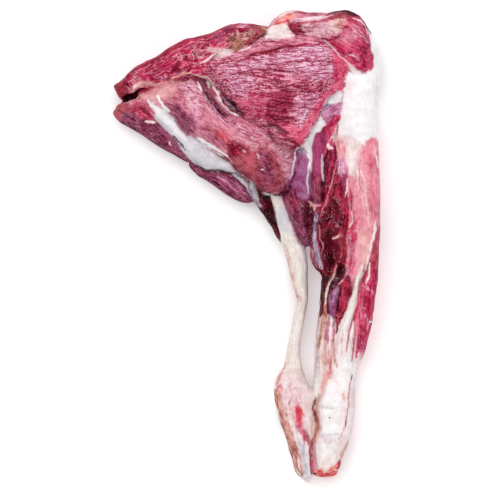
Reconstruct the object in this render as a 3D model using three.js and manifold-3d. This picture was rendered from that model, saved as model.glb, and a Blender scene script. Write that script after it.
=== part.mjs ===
// Raw goat leg, skinned, lying flat: muscles, fat, tendons and the hock, grown together into one solid.
// Millimetres, +Z up. X runs across the leg, Y runs from the hock up to the thigh, Z is height above the table.
// The origin is at the middle of the leg's outline, on the table.
import * as THREE from "three";
import { LoftGeometry } from "three/addons/geometries/LoftGeometry.js";
import { mergeVertices } from "three/addons/utils/BufferGeometryUtils.js";
import Module from "manifold-3d";

// Driving dimensions, in mm
const THIGH_THICKNESS = 70; // top of the haunch above the table
const SHANK_THICKNESS = 48; // top of the shin muscles above the table
const TABLE_SIDE = 500; // the table reaches past the leg on every side
const FACET = 8.5; // size of the facets that the masses are built from
const RING_RANGE = [10, 26]; // fewest and most points round one section
const FEWEST_STEPS = 6; // sections along a short mass
const SECTION_POWER = 2.3; // roundness of a section: 2 is an ellipse, high numbers near a box
const TIP_SHARE = 0.08; // the small flat where a mass runs out, as a share of its full section
const FLESH_COLOUR = "#a3243f";
const FLESH_ROUGHNESS = 0.38;

// Each mass is measured in slices across it. A slice is [place along the axis, low edge, high edge, top], with
// the top as a share of the thickness. A bottom under 0 is cut flat by the table. endNose shortens a round end.
const MASSES = [
  {
    name: "thigh core",
    axis: "x",
    thickness: THIGH_THICKNESS,
    bottom: -10,
    slices: [
      [-94, 100, 122, 0.26],
      [-75, 93, 134, 0.42],
      [-50, 82, 148, 0.56],
      [-20, 62, 156, 0.68],
      [10, 50, 160, 0.74],
      [40, 62, 168, 0.76],
      [68, 84, 170, 0.7],
      [88, 105, 164, 0.63],
      [99, 122, 150, 0.5],
    ],
  },
  {
    name: "rump strip",
    axis: "x",
    thickness: THIGH_THICKNESS,
    bottom: 6,
    slices: [
      [-102, 120.5, 125.5, 0.33],
      [-96, 112.8, 126.7, 0.42],
      [-85, 114, 136.8, 0.54],
      [-70, 117, 144.3, 0.64],
      [-50, 119, 157, 0.73],
      [-30, 123, 161.5, 0.79],
      [-10, 130, 169.2, 0.82],
      [8, 138, 169.8, 0.78],
      [24, 152, 172.5, 0.64],
    ],
  },
  {
    name: "haunch",
    axis: "x",
    thickness: THIGH_THICKNESS,
    bottom: 16,
    slices: [
      [-36, 130, 141, 0.74],
      [-20, 117, 150.5, 0.86],
      [-6, 100, 155, 0.94],
      [10, 89, 160.5, 0.99],
      [26, 77, 164, 1],
      [40, 73, 165, 0.985],
      [50, 87, 164, 0.95],
      [60, 105, 160, 0.9],
      [70, 116, 151, 0.83],
      [80, 127, 139, 0.73],
    ],
  },
  {
    name: "inner thigh",
    axis: "x",
    thickness: THIGH_THICKNESS,
    bottom: 12,
    slices: [
      [-100, 100.5, 109.5, 0.35],
      [-82, 105, 116, 0.49],
      [-68, 106, 123, 0.6],
      [-55, 98, 128, 0.69],
      [-42, 85, 132, 0.76],
      [-28, 75, 125, 0.81],
      [-14, 66, 107, 0.82],
      [2, 49, 101, 0.81],
      [16, 40, 97, 0.78],
      [28, 37.5, 88, 0.7],
      [38, 53, 80, 0.57],
    ],
  },
  {
    name: "belly flap",
    axis: "x",
    thickness: THIGH_THICKNESS,
    bottom: 5,
    slices: [
      [-102.5, 98.5, 107, 0.3],
      [-85, 89.5, 110, 0.38],
      [-70, 79, 104, 0.42],
      [-55, 70, 92, 0.42],
      [-40, 59, 74, 0.36],
    ],
  },
  {
    name: "flank lobe",
    axis: "x",
    thickness: THIGH_THICKNESS,
    bottom: 5,
    slices: [
      [-44, 59.5, 66, 0.3],
      [-28, 48.5, 62, 0.36],
      [-14, 39.5, 59, 0.39],
      [-2, 33, 52, 0.38],
      [7, 31, 41, 0.3],
    ],
  },
  {
    name: "seam fat",
    axis: "x",
    thickness: THIGH_THICKNESS,
    bottom: 8,
    slices: [
      [-80, 107, 114, 0.5],
      [-68, 96, 116, 0.53],
      [-55, 82, 108, 0.53],
      [-42, 66, 97, 0.52],
      [-28, 58, 90, 0.51],
      [-14, 57, 80, 0.51],
      [0, 45, 63, 0.49],
      [8, 32, 54, 0.43],
      [14, 27, 44, 0.36],
    ],
  },
  {
    name: "hip corner",
    axis: "x",
    thickness: THIGH_THICKNESS,
    bottom: 6,
    slices: [
      [50, 146, 174, 0.7],
      [66, 138, 178.7, 0.8],
      [76, 130, 179.7, 0.84],
      [86, 124, 175.3, 0.81],
      [93, 125, 166.5, 0.74],
      [100, 138, 151, 0.62],
    ],
  },
  {
    name: "hip ridge",
    axis: "x",
    thickness: THIGH_THICKNESS,
    bottom: 10,
    slices: [
      [16, 158, 172, 0.62],
      [34, 160, 179.7, 0.68],
      [50, 161, 177.8, 0.69],
      [67, 164, 179.3, 0.73],
    ],
  },
  {
    name: "hip fat",
    axis: "x",
    thickness: THIGH_THICKNESS,
    bottom: 12,
    slices: [
      [10, 151, 158, 0.73],
      [22, 153, 170, 0.72],
      [36, 156, 169, 0.62],
    ],
  },
  {
    name: "knee fat",
    axis: "y",
    thickness: SHANK_THICKNESS,
    bottom: 3,
    slices: [
      [170, 86, 92, 0.86],
      [158, 82, 97, 0.95],
      [148, 78, 101.5, 1],
      [125, 70, 102, 1.04],
      [100, 64, 100.9, 1.04],
      [82, 64, 101.7, 0.98],
      [60, 72, 102.2, 0.88],
    ],
  },
  {
    name: "shank core",
    axis: "y",
    thickness: SHANK_THICKNESS,
    bottom: -6,
    endNose: 4,
    slices: [
      [112, 60, 98, 0.8],
      [90, 56, 100.5, 0.88],
      [60, 52, 101.8, 0.9],
      [30, 50, 102.2, 0.9],
      [5, 50.5, 101.6, 0.86],
      [-20, 56.5, 100, 0.81],
      [-45, 55.9, 98, 0.74],
      [-70, 53.6, 92.6, 0.66],
      [-90, 52.6, 86.5, 0.6],
      [-110, 50.5, 83, 0.59],
      [-135, 49.5, 82, 0.59],
      [-150, 49, 78.5, 0.57],
      [-165, 48, 71.8, 0.53],
      [-176, 49, 69.5, 0.46],
    ],
  },
  {
    name: "calf",
    axis: "y",
    thickness: SHANK_THICKNESS,
    bottom: 6,
    slices: [
      [79, 39, 51, 0.84],
      [62, 34, 51, 0.92],
      [48, 30, 52, 0.96],
      [38, 27.5, 53, 0.94],
      [22, 33.5, 53, 0.84],
      [8, 40, 51.5, 0.7],
      [0, 44.5, 49.5, 0.56],
    ],
  },
  {
    name: "calf strap",
    axis: "y",
    thickness: SHANK_THICKNESS,
    bottom: 14,
    slices: [
      [90, 50, 59, 0.95],
      [70, 48, 60, 0.99],
      [50, 47.5, 60, 0.98],
      [30, 48, 58.5, 0.9],
      [10, 49, 56, 0.78],
      [-8, 49.2, 56.5, 0.68],
      [-20, 54, 59, 0.6],
    ],
  },
  {
    name: "knee strap",
    axis: "y",
    thickness: SHANK_THICKNESS,
    bottom: 14,
    slices: [
      [104, 67, 75, 0.97],
      [88, 58, 71, 1],
      [72, 56, 71, 0.99],
      [50, 56, 69, 0.99],
      [32, 54, 67, 0.95],
      [16, 52, 60, 0.82],
    ],
  },
  {
    name: "deep flexor",
    axis: "y",
    thickness: SHANK_THICKNESS,
    bottom: 12,
    slices: [
      [58, 64, 73, 0.95],
      [35, 60, 79, 1],
      [10, 53, 80, 0.99],
      [-10, 54, 79, 0.93],
      [-28, 57, 69, 0.8],
    ],
  },
  {
    name: "shin band",
    axis: "y",
    thickness: SHANK_THICKNESS,
    bottom: 12,
    slices: [
      [88, 89, 100, 0.93],
      [55, 76, 101.5, 0.99],
      [25, 77, 102, 1],
      [-5, 77, 99, 0.96],
      [-25, 75, 91, 0.87],
      [-44, 77, 85, 0.78],
    ],
  },
  {
    name: "shin edge",
    axis: "y",
    thickness: SHANK_THICKNESS,
    bottom: 8,
    slices: [
      [32, 95, 102, 0.8],
      [0, 90, 101.8, 0.84],
      [-30, 84, 99.8, 0.84],
      [-55, 80, 96.3, 0.77],
      [-75, 79, 92, 0.67],
      [-89, 80, 88, 0.6],
    ],
  },
  {
    name: "ruby spindle",
    axis: "y",
    thickness: SHANK_THICKNESS,
    bottom: 12,
    slices: [
      [-18, 70, 81, 0.86],
      [-40, 67, 80, 0.86],
      [-55, 66, 77, 0.77],
      [-69, 66, 71, 0.66],
    ],
  },
  {
    name: "plum spindle",
    axis: "y",
    thickness: SHANK_THICKNESS,
    bottom: 12,
    slices: [
      [-22, 65, 73, 0.84],
      [-40, 62, 71, 0.84],
      [-57, 63, 69, 0.73],
    ],
  },
  {
    name: "back tendon",
    axis: "y",
    thickness: SHANK_THICKNESS,
    bottom: 6,
    slices: [
      [-16, 57, 68, 0.8],
      [-45, 55.7, 63.5, 0.76],
      [-70, 53.3, 62, 0.68],
      [-95, 51.8, 61, 0.63],
      [-120, 49.5, 56, 0.6],
    ],
  },
  {
    name: "front tendon",
    axis: "y",
    thickness: SHANK_THICKNESS,
    bottom: 10,
    slices: [
      [-10, 83, 90, 0.93],
      [-40, 78, 85, 0.86],
      [-60, 71, 80, 0.77],
      [-85, 64, 82, 0.69],
      [-110, 60, 80, 0.67],
    ],
  },
  {
    name: "shin end",
    axis: "y",
    thickness: SHANK_THICKNESS,
    bottom: 2,
    endNose: 5,
    slices: [
      [-84, 60, 82, 0.6],
      [-104, 55, 83.5, 0.68],
      [-122, 53, 83.6, 0.73],
      [-140, 52.5, 81, 0.72],
      [-155, 52, 75.8, 0.66],
      [-173, 52.5, 70.5, 0.56],
    ],
  },
  {
    name: "hock tendon",
    axis: "y",
    thickness: SHANK_THICKNESS,
    bottom: 9,
    slices: [
      [46, 17, 25, 0.6],
      [30, 19.5, 32, 0.64],
      [18, 24.5, 37.5, 0.63],
      [5, 26.3, 43.5, 0.58],
      [-10, 31.6, 46.9, 0.52],
      [-28, 34.8, 47.5, 0.48],
      [-40, 37.9, 47.6, 0.46],
      [-55, 35.6, 45.2, 0.44],
      [-72, 32.4, 42, 0.42],
      [-88, 29.8, 42, 0.43],
      [-104, 25, 46, 0.47],
    ],
  },
  {
    name: "heel",
    axis: "y",
    thickness: SHANK_THICKNESS,
    bottom: -3,
    slices: [
      [-88, 31, 42, 0.43],
      [-98, 23.8, 45, 0.53],
      [-106, 21.2, 48.5, 0.61],
      [-114, 20.9, 53, 0.65],
      [-122, 22.3, 54, 0.65],
      [-140, 28, 53, 0.61],
      [-158, 33.9, 52, 0.56],
      [-172, 37.8, 52, 0.5],
      [-180, 43.5, 51.5, 0.38],
    ],
  },
  {
    name: "hollow lining",
    axis: "y",
    thickness: SHANK_THICKNESS,
    bottom: 5,
    slices: [
      [48, 5, 34, 0.5],
      [34, 6.5, 33, 0.53],
      [15, 19.8, 34, 0.5],
      [0, 27.5, 36, 0.45],
    ],
  },
];

// One measured column of the slices at any place along the axis, on a smooth curve through the slices.
function smoothColumn(slices, column, at) {
  const rising = slices[slices.length - 1][0] > slices[0][0];
  const sorted = rising ? slices : slices.slice().reverse();
  const last = sorted.length - 1;
  const upper = sorted.findIndex((slice) => slice[0] >= at);
  const i = upper < 0 ? last - 1 : Math.max(upper - 1, 0);
  const slope = (k) => {
    const before = sorted[Math.max(k - 1, 0)];
    const after = sorted[Math.min(k + 1, last)];
    return (after[column] - before[column]) / (after[0] - before[0]);
  };
  const span = sorted[i + 1][0] - sorted[i][0];
  const s = (at - sorted[i][0]) / span;
  const rise = sorted[i + 1][column] - sorted[i][column];
  const start = slope(i) * span - rise;
  const end = rise - slope(i + 1) * span;
  return sorted[i][column] + rise * s + s * (1 - s) * (start * (1 - s) + end * s);
}

// How much of its full section a mass keeps at this distance from an end: a round nose.
function noseShare(distance, nose) {
  const inside = Math.min(distance / nose, 1);
  return Math.max(Math.sqrt(1 - (1 - inside) ** 2), TIP_SHARE);
}

// One section as a ring of points in a plane across the mass's axis, its size drawn in by share.
function sectionRing(mass, at, share, points) {
  const low = smoothColumn(mass.slices, 1, at);
  const high = smoothColumn(mass.slices, 2, at);
  const top = smoothColumn(mass.slices, 3, at) * mass.thickness;
  const halfWidth = ((high - low) / 2) * share;
  const halfHeight = ((top - mass.bottom) / 2) * share;
  const rounded = (wave) => Math.sign(wave) * Math.abs(wave) ** (2 / SECTION_POWER);
  const turn = mass.axis === "x" ? 1 : -1; // keeps the faces pointing out on both axes
  return Array.from({ length: points }, (_, i) => {
    const angle = (turn * 2 * Math.PI * i) / points;
    const across = (low + high) / 2 + halfWidth * rounded(Math.cos(angle));
    const height = (top + mass.bottom) / 2 + halfHeight * rounded(Math.sin(angle));
    return mass.axis === "x"
      ? new THREE.Vector3(at, across, height)
      : new THREE.Vector3(across, at, height);
  });
}

// A closed loft through the sections of one mass, with a round nose at both ends.
function massGeometry(mass) {
  const first = mass.slices[0];
  const last = mass.slices[mass.slices.length - 1];
  const length = Math.abs(last[0] - first[0]);
  const startNose = Math.min(first[2] - first[1], length / 4);
  const endNose = mass.endNose ?? Math.min(last[2] - last[1], length / 4);
  const girths = mass.slices.map(([, low, high, top]) => 2 * (high - low + top * mass.thickness - mass.bottom));
  const girth = girths.reduce((sum, one) => sum + one) / girths.length;
  const points = 2 * Math.round(THREE.MathUtils.clamp(girth / FACET, ...RING_RANGE) / 2);
  const steps = Math.max(FEWEST_STEPS, Math.round(length / FACET));
  const sections = Array.from({ length: steps + 1 }, (_, i) => {
    const along = (1 - Math.cos((Math.PI * i) / steps)) / 2; // closer together near the round ends
    const at = THREE.MathUtils.lerp(first[0], last[0], along);
    const toStart = noseShare(along * length, startNose);
    const toEnd = noseShare((1 - along) * length, endNose);
    return sectionRing(mass, at, Math.min(toStart, toEnd), points);
  });
  const rising = last[0] > first[0];
  return new LoftGeometry(rising ? sections : sections.reverse(), { capStart: true, capEnd: true });
}

const wasm = await Module();
wasm.setup();

// A closed geometry as a solid that can be joined and cut.
function solidOf(geometry) {
  const shell = new THREE.BufferGeometry();
  shell.setAttribute("position", geometry.getAttribute("position"));
  shell.setIndex(geometry.getIndex());
  const merged = mergeVertices(shell);
  return new wasm.Manifold(
    new wasm.Mesh({
      numProp: 3,
      vertProperties: merged.getAttribute("position").array,
      triVerts: new Uint32Array(merged.getIndex().array),
    }),
  );
}

// A joined solid back as a geometry.
function geometryOf(solid) {
  const { vertProperties, triVerts } = solid.getMesh();
  const geometry = new THREE.BufferGeometry();
  geometry.setAttribute("position", new THREE.BufferAttribute(vertProperties, 3));
  geometry.setIndex(new THREE.BufferAttribute(triVerts, 1));
  geometry.computeVertexNormals();
  return geometry;
}

// The masses grown together into one leg, cut flat where it lies on the table.
function legGeometry() {
  const fused = MASSES.map((mass) => solidOf(massGeometry(mass))).reduce((leg, mass) => leg.add(mass));
  const aboveTable = new THREE.BoxGeometry(TABLE_SIDE, TABLE_SIDE, TABLE_SIDE).translate(0, 0, TABLE_SIDE / 2);
  return geometryOf(fused.intersect(solidOf(aboveTable)));
}

const flesh = new THREE.MeshStandardMaterial({
  color: FLESH_COLOUR,
  roughness: FLESH_ROUGHNESS,
  metalness: 0,
});
const leg = new THREE.Mesh(legGeometry(), flesh);
leg.name = "goat_leg";

const part = new THREE.Group();
part.add(leg);

export default part;
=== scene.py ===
"""Looks of a raw goat leg: one fleshy piece that stands for the plain solid, and a stage to show it on."""

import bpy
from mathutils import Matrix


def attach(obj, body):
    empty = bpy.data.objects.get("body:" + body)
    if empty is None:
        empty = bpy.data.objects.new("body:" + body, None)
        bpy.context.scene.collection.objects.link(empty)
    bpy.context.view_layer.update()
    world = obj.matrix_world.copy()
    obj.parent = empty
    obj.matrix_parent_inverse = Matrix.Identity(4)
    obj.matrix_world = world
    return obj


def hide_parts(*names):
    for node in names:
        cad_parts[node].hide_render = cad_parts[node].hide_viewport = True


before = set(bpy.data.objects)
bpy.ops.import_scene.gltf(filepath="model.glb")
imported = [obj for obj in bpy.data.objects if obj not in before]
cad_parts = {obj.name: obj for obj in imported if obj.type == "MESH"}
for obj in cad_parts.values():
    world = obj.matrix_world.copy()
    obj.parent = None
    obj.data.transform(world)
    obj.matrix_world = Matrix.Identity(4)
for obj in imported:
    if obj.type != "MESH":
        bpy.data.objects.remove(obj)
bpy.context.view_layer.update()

from itertools import product

import bpy
import numpy as np
from mathutils import Vector

bl_info = {
    "name": "Raw Goat Leg",
    "version": (1, 0, 0),
    "blender": (4, 5, 0),
    "location": "View3D > Sidebar > Goat Leg",
    "description": "Builds a raw goat leg of muscle, fat, tendon and bone, and a stage for it",
    "category": "Add Mesh",
}

MM = 0.001
TINY = 1e-9

# Form of the masses
SECTION_POWER = 2.3  # roundness of a mass's section: 2 is an ellipse, high numbers near a box
TIP_SHARE = 0.08  # the small flat where a mass runs out, as a share of its full section
LONGEST_NOSE = 0.25  # of the rounded end of a mass, as a share of its length
RING_STEP = 3.0  # mm between the rings of a mass, which lie closer near its ends
RING_POINTS = 36
FEWEST_RINGS = 8

# The mesh that the masses grow into
MOST_TRIANGLES = 186000  # aim for the whole mesh, reached as far as thinning its underside can
RELAX_ROUNDS = 3
RELAX_SHARE = 0.5
TABLE_SNAP = 0.4  # corners lower than this many mm lie flat on the table
UNDERSIDE = -0.3  # a normal whose upward part is less than this is underneath
FREE_HEIGHT = 4.0  # mm above the table from which the relief has its full height

# Fibres and paint
GRAIN_STRETCH = {"x": 1.0, "y": 0.45}  # the fibres of masses along y are drawn out longer
GRAIN_JUMP = (61.0, 23.0)  # mm along and across between the fibre coordinates of one mass and the next
SEAM_BLEND = 0.6  # mm over which the pigments of two masses blend
# painted shade in the creases where masses meet, and how far the creases sink
CREASE_WIDTH = 0.9  # mm
CREASE_DEPTH = 1.0  # mm
CREASE_SHADE = 0.75
UNDER_FAT = 0.8  # how much fat covers its blotches on the underside
WOBBLE = 0.9  # mm by which painted outlines wander on the shown side
STEEP_WOBBLE = 3.2  # mm more on steep sides, where paint from above would run down in stripes
PATCH_RAG = 0.6  # how ragged the rim of a patch is, as a share of its softness
STROKE_RAG = 0.5  # how unevenly wide a stroke is
STROKE_TIP = 0.4  # width of a stroke at its ends, as a share of its full width
STROKE_FADE = (1.7, 0.2)  # where a stroke begins to show and where it is full, in half widths
THINNEST = 0.3  # of an uneven stroke, as a share of its width

# Where a side of the leg begins and where it is full, by the upward part of the normal.
SHOWN_FADE = (-0.35, 0.0)
STEEP_FADE = (0.35, -0.05)
UNDER_FADE = (0.1, -0.5)

# Noises of the coat and the relief: share, size in mm and seed of each layer. A size of three numbers is
# along, across and through the fibres.
CREASE_BREAKS = [(1, 9, 3)]
PLUM_BLOTCHES = [(1, 26, 5), (0.5, 9, 6)]
FAT_BLOTCHES = [(1, 18, 7), (0.4, 6, 8)]
WANDER_X = [(1, 7, 11), (0.5, 3, 13)]
WANDER_Y = [(1, 7, 12), (0.5, 3, 14)]
RAGS = [(0.5, 5, 15), (0.4, 2.2, 16)]
FIBRE_RAGS = [(0.9, (11, 1.8, 4), 17)]
FIBRES = [(1, (12, 2.4, 4), 21), (0.6, (7, 1.7, 3), 22)]
LUMPS = [(1, 13, 23), (0.5, 5, 24)]

# Stage
FLOOR_SIDE = 8.0
FLOOR_ROUGHNESS = 0.9
FLOOR_GLOW = 0.2
WHITE = (1, 1, 1, 1)
SENSOR_WIDTH = 36.0
LEG_MIDDLE = 0.03  # height of the leg's middle above the table
VIEW_SHIFT = 0.00076  # the camera stands this far up the leg from the frame's origin

# Soft lights: place and side in metres, share of the key light's power.
LIGHTS = {
    "key_light": ((-0.4, 0.8, 1.9), 1.7, 1.0),
    "fill_light": ((1.0, -0.7, 1.6), 1.4, 0.25),
}

# Whole numbers that scramble a place and a seed into a random value.
HASH_AXES = (73856093, 19349663, 83492791)
HASH_SEED = 2654435761
HASH_ROUNDS = ((15, 2246822519), (13, 3266489917))
HASH_BITS = 0xFFFFFFFF
VALUE_BITS = 0xFFFF

# The pigments of the leg: dark and light colour as sRGB bytes, how much of it is fibre streaks,
# how much pale membrane with painted glints lies over it as lace, roughness.
DARK, LIGHT, STREAKS, LACE_AND_GLINTS, ROUGHNESS = range(5)
PIGMENTS = {
    # lilac_sheen: pink flesh under a painted lilac sheen, the highlight of the wet surface
    "lilac_sheen": ((184, 88, 124), (238, 188, 210), 1.0, 0.30, 0.28),
    "haunch": ((154, 26, 66), (240, 162, 188), 1.0, 0.30, 0.30),
    "deep": ((108, 2, 36), (184, 58, 94), 0.9, 0.30, 0.30),
    "bright": ((116, 0, 34), (212, 42, 96), 0.3, 0.75, 0.28),
    "crimson": ((152, 8, 54), (222, 84, 124), 0.4, 0.35, 0.26),
    "scarlet": ((192, 28, 76), (248, 118, 152), 0.4, 0.35, 0.28),
    "rose": ((170, 74, 98), (230, 150, 170), 0.45, 0.40, 0.30),
    "redbrown": ((134, 40, 56), (190, 94, 106), 0.2, 0.15, 0.28),
    "plum": ((96, 20, 50), (166, 84, 116), 0.5, 0.35, 0.30),
    "magenta": ((144, 40, 88), (180, 78, 122), 0.4, 0.15, 0.28),
    "violet": ((134, 54, 98), (174, 108, 152), 0.2, 0.15, 0.28),
    "orchid": ((168, 84, 124), (232, 172, 204), 0.4, 0.20, 0.28),
    "maroon": ((32, 0, 4), (104, 10, 36), 0.3, 0.45, 0.30),
    "ruby": ((90, 0, 18), (180, 42, 74), 0.4, 0.40, 0.30),
    "salmon": ((212, 116, 130), (240, 166, 180), 0.3, 0.25, 0.30),
    "peach": ((214, 148, 148), (242, 186, 186), 0.3, 0.20, 0.32),
    "blush": ((180, 100, 122), (244, 200, 213), 0.6, 0.40, 0.30),
    "fat": ((237, 231, 233), (252, 250, 251), 0.2, 0.0, 0.38),
    "greyfat": ((200, 196, 202), (224, 220, 226), 0.2, 0.00, 0.36),
    "tendon": ((222, 208, 202), (246, 238, 231), 0.6, 0.00, 0.34),
    "bone": ((230, 205, 203), (248, 236, 235), 0.3, 0.00, 0.36),
    "brown": ((120, 56, 48), (206, 142, 124), 0.6, 0.60, 0.36),
    "blood": ((182, 18, 40), (226, 84, 96), 0.3, 0.00, 0.28),
    "tan": ((180, 100, 92), (236, 188, 176), 0.5, 0.25, 0.34),
    "orange": ((206, 50, 44), (252, 166, 148), 0.2, 0.1, 0.30),
    "mauve": ((118, 88, 116), (202, 180, 202), 0.4, 0.1, 0.30),
    "black": ((12, 0, 1), (56, 2, 14), 0.2, 0.05, 0.28),
}
PIGMENT_NAMES = list(PIGMENTS)
LAYERS = [f"pigment_{k}" for k in range(len(PIGMENTS) // 3)]  # three pigments share a vector of the mesh
PALE = ("fat", "greyfat", "tendon", "bone")
CUT_TINT = (0.75, 0.25, 0.4)  # what is left of the dark colour in a cut
# pale colour of the membrane lace and of the painted glints over the flesh
MEMBRANE_AND_GLINT = (0.90, 0.62, 0.70, 1.0)
FRAY_SCALE = 420.0  # fine noise that frays where pigments meet
FRAY_SHIFTS = (0.0, 0.3, 0.6)
STRAIGHT_FIBRES = {"haunch": 0.75}  # share of a mass's fibres that run straight along its axis

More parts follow.
